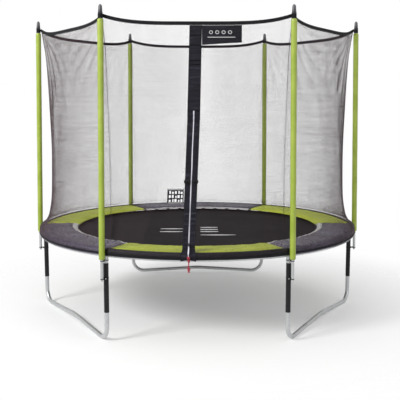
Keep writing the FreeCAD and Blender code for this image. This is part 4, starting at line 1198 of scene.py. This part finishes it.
def top_band():
    """One length of webbing per bay, with two stitch rows."""
    half_height, half_thick = 14.6, 2.2
    pile, thread = Pile(), Pile()
    rel = linspace(-29.9, 29.9, 121)[:, None]
    rise = signed_power(cos(turn(16)), 0.35) * half_height
    reach = signed_power(sin(turn(16)), 0.6) * half_thick
    fine = linspace(-29.8, 29.8, 760)
    weave = 0.7 * sin(TAU * radians(fine) * 1400 / 9)
    for mid in BAYS.values():
        sway = 0.8 * waves(rel / 60, 0 * rel, seed=mid + 9, count=5, per_u=(1, 6), per_v=(0, 1))
        radius = band_radius(rel) + sway * ease(30 - np.abs(rel), 0, 4)
        pile.add(*capped(polar_mm(mid + rel, radius + reach, band_z(rel) + rise)))
        for up in (-8.5, 8.5):
            radius = band_radius(fine) + 1.9 + weave
            thread.tube(polar_mm(mid + fine, radius, band_z(fine) + up), 0.0005, 4)
    attach(pile.build("net_top_band_webbing", "webbing"),
           "frame", "black_webbing", "net_top_band")
    attach(thread.build("net_top_band_stitches", "thread_dark"), "frame", "black_webbing")


top_band()

# ------------------------------------------------------------------ poles and legs, in metres
LEG_R, POLE_R = 1.506, 1.560  # distances of leg and pole from the trampoline's axis
LEAN_Z = 0.700  # height where the pole is at POLE_R
LEAN = radians(1.0)  # lean of the poles towards the middle
LEAN_TURN = np.array(Matrix.Rotation(-LEAN, 3, "X"))
FOAM_FOOT, FOAM_TOP = 0.709, 2.640


def on_pole(local, leg):
    """Points about a pole's own leaning axis, turned to its leg."""
    return turned((local - [0, 0, LEAN_Z]) @ LEAN_TURN.T + [0, -POLE_R, LEAN_Z], leg)


def angle_from(angle, middle):
    return np.angle(exp(1j * (angle - middle)))


def foam_sleeves():
    """Uneven foam tubes, gathered at both ends, with a seam down one side."""
    ends = np.array([0, 0.001, 0.003, 0.006, 0.010, 0.016])
    heights = np.concatenate([FOAM_FOOT + ends, linspace(FOAM_FOOT + 0.024, FOAM_TOP - 0.024, 190),
                              FOAM_TOP - ends[::-1]])
    from_end = np.minimum(heights - FOAM_FOOT, FOAM_TOP - heights)
    radii = 0.0249 - 0.0078 * (1 - clip(from_end / 0.012, 0, 1)) ** 2
    profile = with_bore(radii, heights, bore=0.0129, inset=0.0005)
    for number, leg in enumerate(LEGS, 1):
        def wobble(z, angle):
            lumps = waves(angle / TAU, z / 2, seed=40 + number, count=6,
                          per_u=(0, 0.01), per_v=(2, 14))
            dents = waves(0 * angle, z / 2, seed=60 + number, count=5,
                          per_u=(0, 0.01), per_v=(3, 12))
            gather = exp(-np.minimum(z - FOAM_FOOT, FOAM_TOP - z) / 0.018)
            seam = exp(-((angle_from(angle, 2.2) / 0.05) ** 2))
            return (0.00045 * lumps - 0.0004
                    + 0.0004 * sin(3 * angle + 5 * sin(3 * z + number)) * dents
                    + 0.0009 * gather * (cos(18 * angle) - 1) + 0.0003 * seam)

        verts, faces = lathe(profile, 44, wobble)
        piece = build(f"foam_sleeve_{number}_cover", on_pole(verts, leg), faces, "foam")
        attach(piece, "frame", "lime_sleeve", f"foam_sleeve_{number}")


def leg_sleeves():
    """Tubes with rolled rims and two shallow grooves."""
    foot, top = 0.256, 0.674
    ends = np.array([0, 0.0015, 0.004, 0.008])
    heights = np.concatenate([foot + ends, linspace(foot + 0.012, top - 0.012, 60),
                              top - ends[::-1]])
    from_end = np.minimum(heights - foot, top - heights)
    radii = 0.0213 + 0.0008 * exp(-(((from_end - 0.004) / 0.003) ** 2))
    radii = radii - 0.001 * (from_end < 0.001)
    for groove in (0.34, 0.50):
        radii = radii - 0.0004 * exp(-(((heights - groove) / 0.004) ** 2))
    verts, faces = lathe(with_bore(radii, heights, bore=0.0193, inset=0.0006), 36)
    pile = Pile()
    pile.around(LEGS, verts + [0, -LEG_R, 0], faces)
    attach(pile.build("leg_sleeve_mouldings", "black_sleeve"),
           "frame", "black_sleeve", "leg_sleeves")


def pole_clamps(word, leg_radius, foot):
    """Moulded spacers between leg and pole, and a thin strap round both."""
    height, pole_radius = 0.014, 0.0129
    middle = foot + height / 2
    leg_y = -LEG_R
    pole_y = -POLE_R + (middle - LEAN_Z) * np.tan(LEAN)

    # the strap's path runs round the leg, then round the pole
    wrap = np.arcsin((leg_radius - pole_radius) / (leg_y - pole_y))
    loop = vstack([stack([radius * cos(angle), y + radius * sin(angle)], 1)
                   for radius, y, angle in (
                       (leg_radius, leg_y, linspace(-wrap, pi + wrap, 29)),
                       (pole_radius, pole_y, linspace(pi + wrap, TAU - wrap, 21)))])
    along = np.roll(loop, -1, 0) - np.roll(loop, 1, 0)
    along /= np.linalg.norm(along, axis=1, keepdims=True)
    outward = stack([along[:, 1], -along[:, 0]], 1)
    # (distance outwards, height) of the strap's section
    out, up = np.array([(0.0001, 0.0038), (0.0014, 0.0044), (0.0016, height / 2),
                        (0.0014, height - 0.0044), (0.0001, height - 0.0038)]).T
    band = points(loop[:, :1] + outward[:, :1] * out, loop[:, 1:] + outward[:, 1:] * out,
                  foot + up)

    # the spacer is an oblong with cut corners, wider at both ends
    y = linspace(leg_y - leg_radius + 0.004, pole_y + pole_radius - 0.003, 9)[:, None]
    half = 0.0105 + 0.004 * np.abs((y - y.mean()) / (y[0] - y[-1])) * 2
    wide = np.array([-1, -0.8, 0.8, 1, 1, 0.8, -0.8, -1])
    tall = np.array([-0.8, -1, -1, -0.8, 0.8, 1, 1, 0.8])
    rows = points(half * wide, y, middle + tall * (height / 2 - 0.001))

    spacers, straps = Pile(), Pile()
    spacers.around(LEGS, *capped(rows))
    straps.around(LEGS, band.reshape(-1, 3), grid_faces(len(loop), len(out), True, True))
    attach(spacers.build(f"pole_clamp_{word}_spacers", "black_plastic"),
           "frame", "black_plastic", f"pole_clamps_{word}")
    attach(straps.build(f"pole_clamp_{word}_straps", "black_plastic"), "frame", "black_plastic")


def cap_straps():
    """Webbing loop under each cap, with a two-ply tab inwards to the top band."""
    heights = linspace(2.6425, 2.6752, 13)
    radii = 0.0196 + 0.0012 * np.abs(sin(linspace(0, 3 * pi, 13))) ** 0.6

    def wobble(_, angle):
        overlap = 0.0006 * (np.abs(angle_from(angle, 1.9)) < 0.25)
        return 0.0005 * sin(2 * angle + 1) - 0.0004 + overlap

    verts, faces = lathe(with_bore(radii, heights, bore=0.0130, inset=0.0005), 40, wobble)
    y, z = crossed(linspace(-1.5105, -1.490, 8), linspace(2.6545, 2.6725, 8))
    x = 0.0030 + 0.0045 * ease(y, -1.500, -1.5105)
    pile = Pile()
    for leg in LEGS:
        pile.add(on_pole(verts, leg), faces)
        for side in (-1, 1):
            tab = shell_data(points(side * (x + 0.0008), y, z), points(side * x, y, z))
            pile.around([leg], *tab)
    attach(pile.build("cap_strap_loops", "webbing"), "frame", "black_webbing", "cap_straps")


foam_sleeves()
leg_sleeves()
pole_clamps("lower", leg_radius=0.0222, foot=0.541)
pole_clamps("upper", leg_radius=0.0217, foot=0.692)
cap_straps()

# ------------------------------------------------------------------ jumping mat, in metres
MAT_RADIUS = 1.2975


def mat_cloth():
    turns = 180
    radii = np.concatenate([linspace(0.004, 1.22, 34), linspace(1.235, MAT_RADIUS, 12)])
    azimuth, radius = crossed(np.arange(turns) * 360.0 / turns, radii)
    angle = radians(azimuth)
    ripple = waves(radius * cos(angle), radius * sin(angle), seed=12, count=8,
                   per_u=(0.5, 2.5), per_v=(0.5, 2.5))
    sag = (-0.0012 * (1 - (radius / MAT_RADIUS) ** 2)
           + 0.00035 * ripple * (1 - (radius / 1.3) ** 6))
    upper = polar(azimuth, radius, 0.7513 + sag + 0.0006 * (radius > 1.25))
    lower = polar(azimuth, radius, 0.7499 + sag * 0.5)
    verts = vstack([upper.reshape(-1, 3), lower.reshape(-1, 3),
                    [[0, 0, 0.7501], [0, 0, 0.7494]]])
    cols = len(radii)
    count = turns * cols
    sheet = grid_faces(turns, cols, True, False)
    start = np.arange(turns) * cols
    end = np.roll(start, -1)
    rim = stack([end, start, start + count, end + count], 1) + cols - 1
    centre = np.full(turns, 2 * count)
    faces = vstack([sheet[:, ::-1], sheet + count, rim,
                    stack([end, start, centre, centre], 1),
                    stack([start + count, end + count, centre + 1, centre + 1], 1)])
    attach(build_mixed("jumping_mat_cloth", verts, faces.tolist(), "mat"),
           "mat", "mat_fabric", "jumping_mat")


def mat_edge():
    """Webbing ring sewn round the edge of the mat, with its stitch rows."""
    turns, cols = 240, 7
    azimuth, radius = crossed(np.arange(turns) * 360.0 / turns, linspace(1.252, 1.2972, cols))
    upper = polar(azimuth, radius, 0.7528 + 0.0002 * sin(radians(azimuth) * 60))
    lower = polar(azimuth, radius, 0.7519)
    count = turns * cols
    sheet = grid_faces(turns, cols, True, False)
    start = np.arange(turns) * cols
    end = np.roll(start, -1)
    inner_rim = stack([end, start, start + count, end + count], 1)
    outer_rim = stack([start, end, end + count, start + count], 1) + cols - 1
    verts = vstack([upper.reshape(-1, 3), lower.reshape(-1, 3)])
    faces = vstack([sheet, sheet[:, ::-1] + count, inner_rim, outer_rim])
    attach(build("mat_edge_webbing", verts, faces, "webbing"), "mat", "mat_fabric")

    pile = Pile()
    azimuth = linspace(0, 360, 3000, endpoint=False)
    for radius in (1.256, 1.262, 1.288):
        path = polar(azimuth, radius, 0.7529 + 0.0005 * sin(radians(azimuth) * 750))
        pile.tube(path, 0.0005, 4, closed=True)
    attach(pile.build("mat_edge_stitches", "thread_dark"), "mat", "mat_fabric")


def mat_print():
    """Plain bars that taper to both ends."""
    # (start x, end x, y, share of the width left at the ends)
    bars = [(-0.36, -0.14, -0.10, 0.3), (-0.36, -0.14, -0.26, 0.3), (0.03, 0.20, -0.02, 0.5),
            (0.03, 0.20, -0.14, 0.7), (0.03, 0.20, -0.26, 0.5), (0.03, 0.36, -0.44, 0.2)]
    width = 0.040
    share, across = crossed(linspace(0, 1, 24), np.array([-0.5, 0, 0.5]))
    pile = Pile()
    for start, end, middle, taper in bars:
        x = start + (end - start) * share
        swell = taper + (1 - taper) * sin(pi * (share * 0.9 + 0.05))
        y = middle + across * width * swell
        pile.shell(points(x, y, 0.7527), points(x, y, 0.7518))
    attach(pile.build("mat_print", "print"), "mat", "mat_fabric")


def mat_tabs():
    """Folded webbing tabs that hold the V-rings."""
    eye_y, eye_z, eye_radius = 1.317, 0.751, 0.0042
    flat, half_thick = 0.0018, 0.0008  # half gap where the plies lie flat; half a ply
    arc = linspace(pi / 2, -pi / 2, 11)
    run = linspace(1.2985, eye_y, 6)[:-1]
    lift = flat + (eye_radius - flat) * ease(run, 1.300, 1.314)
    y = np.concatenate([run, eye_y + eye_radius * cos(arc), run[::-1]])
    z = np.concatenate([eye_z + lift, eye_z + eye_radius * sin(arc), (eye_z - lift)[::-1]])
    along_y, along_z = np.gradient(y), np.gradient(z)
    length = np.hypot(along_y, along_z)
    x = linspace(-0.0105, 0.0105, 5)[:, None]
    outer, inner = (points(x, -(y - along_z / length * off), z + along_y / length * off)
                    for off in (half_thick, -half_thick))
    pile = Pile()
    pile.around(SPRINGS, *shell_data(outer, inner))
    attach(pile.build("mat_webbing_loops", "webbing"),
           "mat", "black_webbing", "mat_webbing_tabs")


mat_cloth()
mat_edge()
mat_print()
mat_tabs()

# ------------------------------------------------------------------ springs, in metres
# (x, y, z) along the hooks of the front-facing spring, at its mat end and its rail end
MAT_HOOK = [(0, -1.3475, 0.7445), (0, -1.3475, 0.750), (0, -1.3478, 0.7555),
            (0, -1.3500, 0.7578), (0, -1.354, 0.7583), (0, -1.364, 0.7578),
            (0, -1.371, 0.7560), (0.0025, -1.3745, 0.7530)]
RAIL_HOOK = [(0.0020, -1.4765, 0.7545), (0, -1.479, 0.7600), (0, -1.483, 0.7650),
             (0, -1.489, 0.7664), (0, -1.4940, 0.7660), (0, -1.4966, 0.7630),
             (0, -1.497, 0.7570), (0, -1.497, 0.7500)]


def springs():
    """Coils that narrow at both ends into hooks."""
    turns, wire = 27.0, 0.0016
    share = linspace(0, 1, int(turns * 9))
    angle = TAU * turns * share
    taper = np.minimum(1, np.minimum(share, 1 - share) * 14 + 0.35)
    radius = (0.0105 - wire) * taper
    coil = points(radius * cos(angle), -(1.376 + 0.098 * share), 0.752 + radius * sin(angle))
    pile = Pile()
    pile.around(SPRINGS, *tube_data(vstack([MAT_HOOK, coil, RAIL_HOOK]), wire, 5))
    piece = pile.build("spring_coils", "zinc")
    label(piece, "zinc_steel", "springs")
    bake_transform(piece, "frame", "mat", start=(0, -1.497, 0.752), end=(0, -1.352, 0.752))
    x, y, _ = get_places(piece).T
    held_r, free_r = 1.494, 1.356
    set_weights(piece, clip((held_r - np.hypot(x, y)) / (held_r - free_r), 0, 1))


springs()

# ------------------------------------------------------------------ pads, in metres
LIME_PADS = ("front", "back_right", "back_left")
PAD_IN, PAD_OUT, PAD_HALF = 1.171, 1.5085, 29.55  # radii, and half the angle
PAD_CELL, PAD_VOXEL = 0.010, 0.0058
CLOTH = dict(quality=4, mass=0.3, tension_stiffness=20, compression_stiffness=20,
             shear_stiffness=8, bending_stiffness=0.12, use_pressure=True,
             uniform_pressure_force=4.0)
CLOTH_FRAMES = 20


def pad_slab():
    """Closed slab with rounded edges, a little smaller than the pad's space."""
    azimuth, radius = crossed(linspace(-PAD_HALF, PAD_HALF, int(1.41 / PAD_CELL)),
                              linspace(PAD_IN, PAD_OUT, int((PAD_OUT - PAD_IN) / PAD_CELL)))
    from_edge = np.minimum(np.minimum(radius - PAD_IN, PAD_OUT - radius),
                           (PAD_HALF - np.abs(azimuth)) * 0.0233)
    drop = 0.009 * (1 - clip(from_edge / 0.012, 0, 1)) ** 2
    drop = np.maximum(drop, 0.0085 * (1 - clip((radius - PAD_IN) / 0.05, 0, 1)) ** 2)
    return shell_data(polar(azimuth, radius, 0.7935 - drop),
                      polar(azimuth, radius, 0.7740 + drop * 0.2))


def radius_and_azimuth(places):
    x, y = places[:, 0], places[:, 1]
    return np.hypot(x, y), np.degrees(np.arctan2(x, -y))


def crumpled(places, seed, amount):
    """Puckers along the sewn edges and slack folds across the top."""
    radius, azimuth = radius_and_azimuth(places)
    on_top = ease(places[:, 2], 0.782, 0.792)
    from_edge = np.minimum(radius - 1.168, 1.512 - radius)
    pucker = sin(azimuth * 4.7 + 2 * sin(azimuth * 0.9 + seed)) + 0.6 * sin(azimuth * 11.3 + seed)
    pucker = exp(-np.maximum(from_edge, 0) / 0.022) * pucker
    u, v = azimuth / 60, (radius - 1.165) / 0.36
    fold = waves(u, v, seed, count=9, per_u=(1.5, 8), per_v=(0.3, 1.6))
    fold = fold + waves(u, v, seed + 50, count=14, per_u=(10, 26), per_v=(1.5, 6))
    fold = signed_power(fold, 1.4)
    places = places.copy()
    places[:, 2] += on_top * amount * (0.0009 * pucker + 0.0016 * fold)
    return places


def inflated(form, rest, seed, grow, most):
    """Cloth run that swells the cover; no point moves further than most."""
    radius, azimuth = radius_and_azimuth(rest)
    # held along the sewn outline and underneath, so the cover only swells between
    under = rest[:, 2] < 0.7775
    outline = (radius < 1.176) | (radius > 1.503) | (np.abs(azimuth) > 29.3)
    rim = (rest[:, 2] < 0.786) & outline
    held = form.vertex_groups.new(name="held")
    held.add([int(k) for k in np.nonzero(under | rim)[0]], 1.0, "REPLACE")
    # a small seeded unevenness makes the folds repeatable
    pushed = rest.copy()
    pushed[:, 2] += 0.0006 * waves(rest[:, 0] / 0.3, rest[:, 1] / 0.3, seed, count=12,
                                   per_u=(1, 5), per_v=(1, 5)) * (rest[:, 2] > 0.785)
    set_places(form, pushed)
    cloth = form.modifiers.new("cloth", "CLOTH")
    for key, value in CLOTH.items():
        setattr(cloth.settings, key, value)
    cloth.settings.shrink_min = -grow
    cloth.settings.shrink_max = -grow
    cloth.settings.effector_weights.gravity = 0
    cloth.settings.vertex_group_mass = "held"
    cloth.collision_settings.use_collision = False
    cloth.collision_settings.use_self_collision = False
    cloth.point_cache.frame_start, cloth.point_cache.frame_end = 1, CLOTH_FRAMES
    scene = bpy.context.scene
    for frame in range(1, CLOTH_FRAMES + 1):
        scene.frame_set(frame)
    moved = get_places(form.evaluated_get(bpy.context.evaluated_depsgraph_get())) - rest
    form.modifiers.remove(cloth)
    scene.frame_set(1)
    distance = np.linalg.norm(moved, axis=1)
    moved *= np.minimum(1, most / np.maximum(distance, 1e-9))[:, None]
    moved[distance > 0.2] = 0  # stray points stay where they were
    places = rest + moved
    places[:, 2] = clip(places[:, 2], 0.7722, 0.8020)
    return places


def pad_form(name, seed, grow, most, crumple):
    """Vertices and quads of a padded cushion at the front."""
    form = build(name, *pad_slab(), "lime")
    bpy.context.view_layer.objects.active = form
    for item in bpy.context.selected_objects:
        item.select_set(False)
    form.select_set(True)
    remesh = form.modifiers.new("remesh", "REMESH")
    remesh.mode = "VOXEL"
    remesh.voxel_size = PAD_VOXEL
    bpy.ops.object.modifier_apply(modifier=remesh.name)
    rest = get_places(form)
    places = inflated(form, rest, seed, grow, most)
    places = crumpled(places, seed, crumple)
    radius, _ = radius_and_azimuth(places)
    places[:, :2] *= (clip(radius, 1.1655, 1.5135) / radius)[:, None]
    set_places(form, places)
    form.data.update()
    smooth = form.modifiers.new("sub", "SUBSURF")
    smooth.levels = smooth.render_levels = 1
    bpy.ops.object.modifier_apply(modifier=smooth.name)
    places = get_places(form)
    corners = np.zeros(len(form.data.loops), np.int32)
    form.data.loops.foreach_get("vertex_index", corners)
    bpy.data.objects.remove(form)
    return places, corners.reshape(-1, 4)


def pads():
    lime_form = pad_form("pad_form_a", seed=5, grow=0.018, most=0.0075, crumple=1.0)
    dark_form = pad_form("pad_form_b", seed=23, grow=0.045, most=0.0085, crumple=3.0)
    for word, mid in BAYS.items():
        name, lime = f"pad_{word}", word in LIME_PADS
        verts, faces = lime_form if lime else dark_form
        if word in ("front_left", "back_right"):
            verts = verts * [-1, 1, 1]
        finish = "lime" if lime else "dark"
        slot = "lime_vinyl" if lime else "black_vinyl"
        # The back pad takes the darker copy of the black vinyl, which paints shade into it.
        piece = build(name + "_cushion", turned(verts, mid), faces,
                      "dark_painted_shade_back" if word == "back" else finish)
        attach(piece, "frame", slot, name)
        pile = Pile()
        rel = linspace(-29.75, 29.75, 150)
        pile.tube(polar(mid + rel, 1.1668, 0.7795 + 0.0004 * sin(rel * 5)), 0.0022, 8)
        attach(pile.build(name + "_piping", finish), "frame", slot)


pads()

# ------------------------------------------------------------------ skirts, in millimetres
# (radius, height) from the pad's outer edge down; dark pads leave out the first point
SKIRT = np.array([
    (1500.5, 800.2), (1506, 800.6), (1512, 799.4), (1517.5, 796.8), (1522, 793),
    (1525.2, 788.4), (1526.8, 783), (1527.4, 776), (1527.5, 768), (1527.6, 760),
    (1527.7, 752), (1527.8, 746), (1527.8, 741.5)])


def grid_normals(grid):
    """Unit normals; they point inwards on a skirt."""
    normals = np.cross(np.gradient(grid, axis=0), np.gradient(grid, axis=1))
    return normals / np.maximum(np.linalg.norm(normals, axis=2, keepdims=True), 1e-12)


def skirt(word, mid):
    profile = SKIRT if word in LIME_PADS else SKIRT[1:]
    rel = linspace(-29.88, 29.88, 181)
    _, radius = crossed(rel, profile[:, 0])
    rel, z = crossed(rel, profile[:, 1])
    low = ease(z, 792, 745)
    ripple = waves(rel / 8, z / 60, seed=mid + 2, count=6, per_u=(0.5, 2), per_v=(0.2, 1))
    radius = radius + (0.9 * hem_wave(mid + rel) + 0.35 * ripple) * low
    hem = waves(rel / 30, 0 * z, seed=mid + 4, count=5, per_u=(0.5, 2.5), per_v=(0, 1))
    z = z + 1.8 * hem * ease(z, 756, 741)
    top = waves(rel / 10, z / 40, seed=mid + 6, count=5, per_u=(0.3, 2), per_v=(0.2, 1))
    z = z + 0.5 * top * (1 - low)
    outer = polar_mm(mid + rel, radius, z)
    # The side skirts take the lighter copy, which paints reflection into them.
    finish = "side_skirt" if word in ("front_left", "front_right") else "skirt"
    attach(shell(f"pad_{word}_skirt", outer, outer + grid_normals(outer) * 0.0011, finish),
           "frame", "black_vinyl")


def skirt_stitches(word, mid):
    thread = Pile()
    rel = linspace(-29.8, 29.8, 900)
    weave = 0.0006 * sin(TAU * radians(rel) * 1510 / 10)
    thread.tube(polar(mid + rel, 1.5045, 0.80175 + weave), 0.0005, 4)
    attach(thread.build(f"pad_{word}_top_stitches", "thread_dark"), "frame", "black_vinyl")


for word, mid in BAYS.items():
    skirt(word, mid)
    skirt_stitches(word, mid)

# ------------------------------------------------------------------ zip slider, in metres
ZIP_UP = np.array([(ZIP_HEAD_X - ZIP_FOOT_X) / 1032.0, SLOPE, 1.0])
ZIP_UP /= np.linalg.norm(ZIP_UP)
ZIP_SIDE = np.cross(ZIP_UP, DOOR_NORMAL)
SLIDER_FOOT = door_point(1, 0, 842)
# (across, up) outlines
BODY = [(-0.0068, 0.001), (0.0068, 0.001), (0.0072, 0.010), (0.0060, 0.022),
        (0.0030, 0.029), (-0.0030, 0.029), (-0.0060, 0.022), (-0.0072, 0.010)]
BRIDGE = [(-0.0022, 0.004), (0.0022, 0.004), (0.0026, 0.013),
          (0.0020, 0.021), (-0.0020, 0.021), (-0.0026, 0.013)]


def slider_point(across, up, out):
    return (SLIDER_FOOT + np.multiply.outer(across, ZIP_SIDE)
            + np.multiply.outer(up, ZIP_UP) + DOOR_NORMAL * out)


def slider_plate(name, outline, back, front, bevel):
    """Plate between two distances in front of the door."""
    shape = bmesh.new()
    face = shape.faces.new([shape.verts.new(slider_point(x, up, back)) for x, up in outline])
    for part in bmesh.ops.extrude_face_region(shape, geom=[face])["geom"]:
        if isinstance(part, bmesh.types.BMVert):
            part.co += Vector(DOOR_NORMAL * (front - back))
    bmesh.ops.recalc_face_normals(shape, faces=shape.faces)
    bmesh.ops.bevel(shape, geom=list(shape.edges), offset=bevel, segments=2, affect="EDGES")
    mesh = bpy.data.meshes.new(name)
    shape.to_mesh(mesh)
    shape.free()
    mesh.materials.append(FINISH["slider"])
    return link(name, mesh)


attach(slider_plate("zip_slider_body", BODY, back=0.0086, front=0.0118, bevel=0.0008),
       "slider", "slider_metal", "zip_slider")
attach(slider_plate("zip_slider_bridge", BRIDGE, back=0.0118, front=0.0150, bevel=0.0006),
       "slider", "slider_metal")
pile = Pile()
ring = slider_point(0.0034 * cos(turn(24)), 0.0065 + 0.0040 * sin(turn(24)), 0.0158)
pile.tube(ring, 0.0009, 8, closed=True)
attach(pile.build("zip_slider_ring", "slider"), "slider", "slider_metal")

# ------------------------------------------------------------------ pull cord
# (x from the eye, y, z) in millimetres, below the eye
CORD = [(0.5, -1510, 837), (1.0, -1534, 826), (0.5, -1546, 813), (-1.0, -1550.5, 796),
        (-1.5, -1551.5, 776), (0, -1551, 756), (1.5, -1551, 734), (1.0, -1551, 712),
        (-0.5, -1551, 694), (1.0, -1551, 676), (1.5, -1551, 664), (1.0, -1551, 655)]
KNOTS = ((0.766, 0.0078), (0.738, 0.0058), (0.676, 0.0082))  # height, size
RED_TOP = 0.775  # height where the pale tape gives way to red cord


def catmull(path, steps):
    """Smooth curve through the points, with a number of steps between each two."""
    ends = vstack([2 * path[0] - path[1], path, 2 * path[-1] - path[-2]])
    t = linspace(0, 1, steps, endpoint=False)[:, None]
    parts = []
    for before, start, end, after in zip(ends, ends[1:], ends[2:], ends[3:]):
        parts.append(0.5 * (2 * start + (end - before) * t
                            + (2 * before - 5 * start + 4 * end - after) * t**2
                            + (3 * start - before - 3 * end + after) * t**3))
    return vstack(parts + [path[-1:]])


def pull_cord():
    """Two pale tapes from the slider, then a three-strand red cord with a frayed end."""
    eye = SLIDER_FOOT * 1000 + DOOR_NORMAL * 17.6
    eye = eye + np.array([0, SLOPE, 1.0]) / np.hypot(1, SLOPE) * 3.0
    spine = catmull(vstack([eye, np.array(CORD) + [eye[0], 0, 0]]) / 1000, 14)
    along, side, other = frames_along(spine)
    lengths = np.linalg.norm(np.diff(spine, axis=0), axis=1)
    distance = np.concatenate([[0], np.cumsum(lengths)])
    red_from = np.argmin(np.abs(spine[:, 2] - RED_TOP))

    pile = Pile()
    for hand in (-1, 1):
        pile.tube(spine[:red_from + 2] + hand * 0.0016 * ZIP_SIDE, 0.0016, 6)
    attach(pile.build("zip_pull_tape", "teeth"), "cord", "zip_tape")

    pile = Pile()
    for k in range(3):
        phase = (TAU * distance / 0.013 + TAU * k / 3)[:, None]
        strand = spine + 0.0023 * (side * cos(phase) + other * sin(phase))
        pile.tube(catmull(strand[red_from:], 3), 0.0025, 6)
    angle = turn(60)[:, None]
    for z, size in KNOTS:
        at = np.argmin(np.abs(spine[:, 2] - z))
        reach = size * (1 + 0.45 * cos(3 * angle))
        knot = (spine[at] + cos(2 * angle) * reach * side[at] + sin(2 * angle) * reach * other[at]
                + sin(3 * angle) * size * 1.1 * along[at])
        pile.tube(knot, 0.0030, 7, closed=True)
    for k, angle in enumerate(turn(7)):
        x, y = cos(angle), sin(angle)
        fray = spine[-1] + np.array([(0, 0, 0.012), (0.0056 * x, 0.0044 * y, 0.003),
                                     (0.0090 * x, 0.0070 * y, -0.007 - 0.002 * (k % 3))])
        pile.tube(catmull(fray, 5), 0.0018, 5)
    attach(pile.build("zip_pull_cord_rope", "red"), "cord", "red_cord", "zip_pull_cord")


pull_cord()


# ------------------------------------------------------------------ floor, light, camera
def floor_finish():
    """Pale floor that fades out with distance from the middle."""
    look = Look("studio_floor")
    cloud = look.noise(look.coord(), scale=1.3)
    colour = look.mix(cloud, (0.93, 0.93, 0.935, 1), (0.96, 0.96, 0.96, 1))
    look.set(Base_Color=colour, Roughness=0.95, Specular_IOR_Level=0.0)
    away = look.node("ShaderNodeVectorMath", (look.coord(),), out="Value", operation="LENGTH")
    fade = look.ramp(away, span=(1.2, 3.2), to=(0.25, 1.0))
    clear = look.node("ShaderNodeBsdfTransparent")
    look.output(look.node("ShaderNodeMixShader", (fade, look.surface.outputs[0], clear)))
    return look.material


def floor():
    seg, radius = 64, 4.2
    finish = floor_finish()
    mesh = bpy.data.meshes.new("studio_floor")
    rim = [(radius * cos(angle), radius * sin(angle), 0) for angle in turn(seg)]
    mesh.from_pydata([(0, 0, 0)] + rim, [],
                     [(0, 1 + k, 1 + (k + 1) % seg) for k in range(seg)])
    mesh.materials.append(finish)
    link("studio_floor", mesh)


def world():
    """White to the camera and dimmer as a light."""
    studio = bpy.data.worlds.new("studio")
    studio.use_nodes = True
    nodes, links = studio.node_tree.nodes, studio.node_tree.links
    background = nodes["Background"]
    background.inputs[0].default_value = (1.0, 1.0, 1.0, 1)
    rays = nodes.new("ShaderNodeLightPath")
    strength = nodes.new("ShaderNodeMapRange")
    strength.inputs["To Min"].default_value = 0.62
    strength.inputs["To Max"].default_value = 1.0
    links.new(rays.outputs["Is Camera Ray"], strength.inputs["Value"])
    links.new(strength.outputs[0], background.inputs[1])
    bpy.context.scene.world = studio


def disk_light(name, place, aim, size, power):
    data = bpy.data.lights.new(name, "AREA")
    data.shape = "DISK"
    data.size = size
    data.energy = power
    lamp = link(name, data)
    lamp.location = place
    lamp.rotation_mode = "QUATERNION"
    lamp.rotation_quaternion = (Vector(aim) - Vector(place)).to_track_quat("-Z", "Y")


def camera():
    data = bpy.data.cameras.new("camera")
    data.sensor_width = 36
    data.lens = 67.7673
    data.clip_end = 200
    item = link("camera", data)
    item.location = (0.00313, -7.38422, 2.00241)
    tilt_down, swing = 0.13182, -0.00307
    item.rotation_euler = (pi / 2 - tilt_down, 0.0, swing)
    bpy.context.scene.camera = item


floor()
world()
disk_light("key", place=(-7.5, -6.5, 7.0), aim=(0, 0, 1.0), size=3.5, power=1000)
disk_light("fill", place=(7.5, -6.0, 5.0), aim=(0, 0, 1.2), size=4.0, power=90)
camera()
scene = bpy.context.scene
scene.view_settings.view_transform = "Standard"
scene.cycles.transparent_max_bounces = 40
scene.cycles.max_bounces = 8
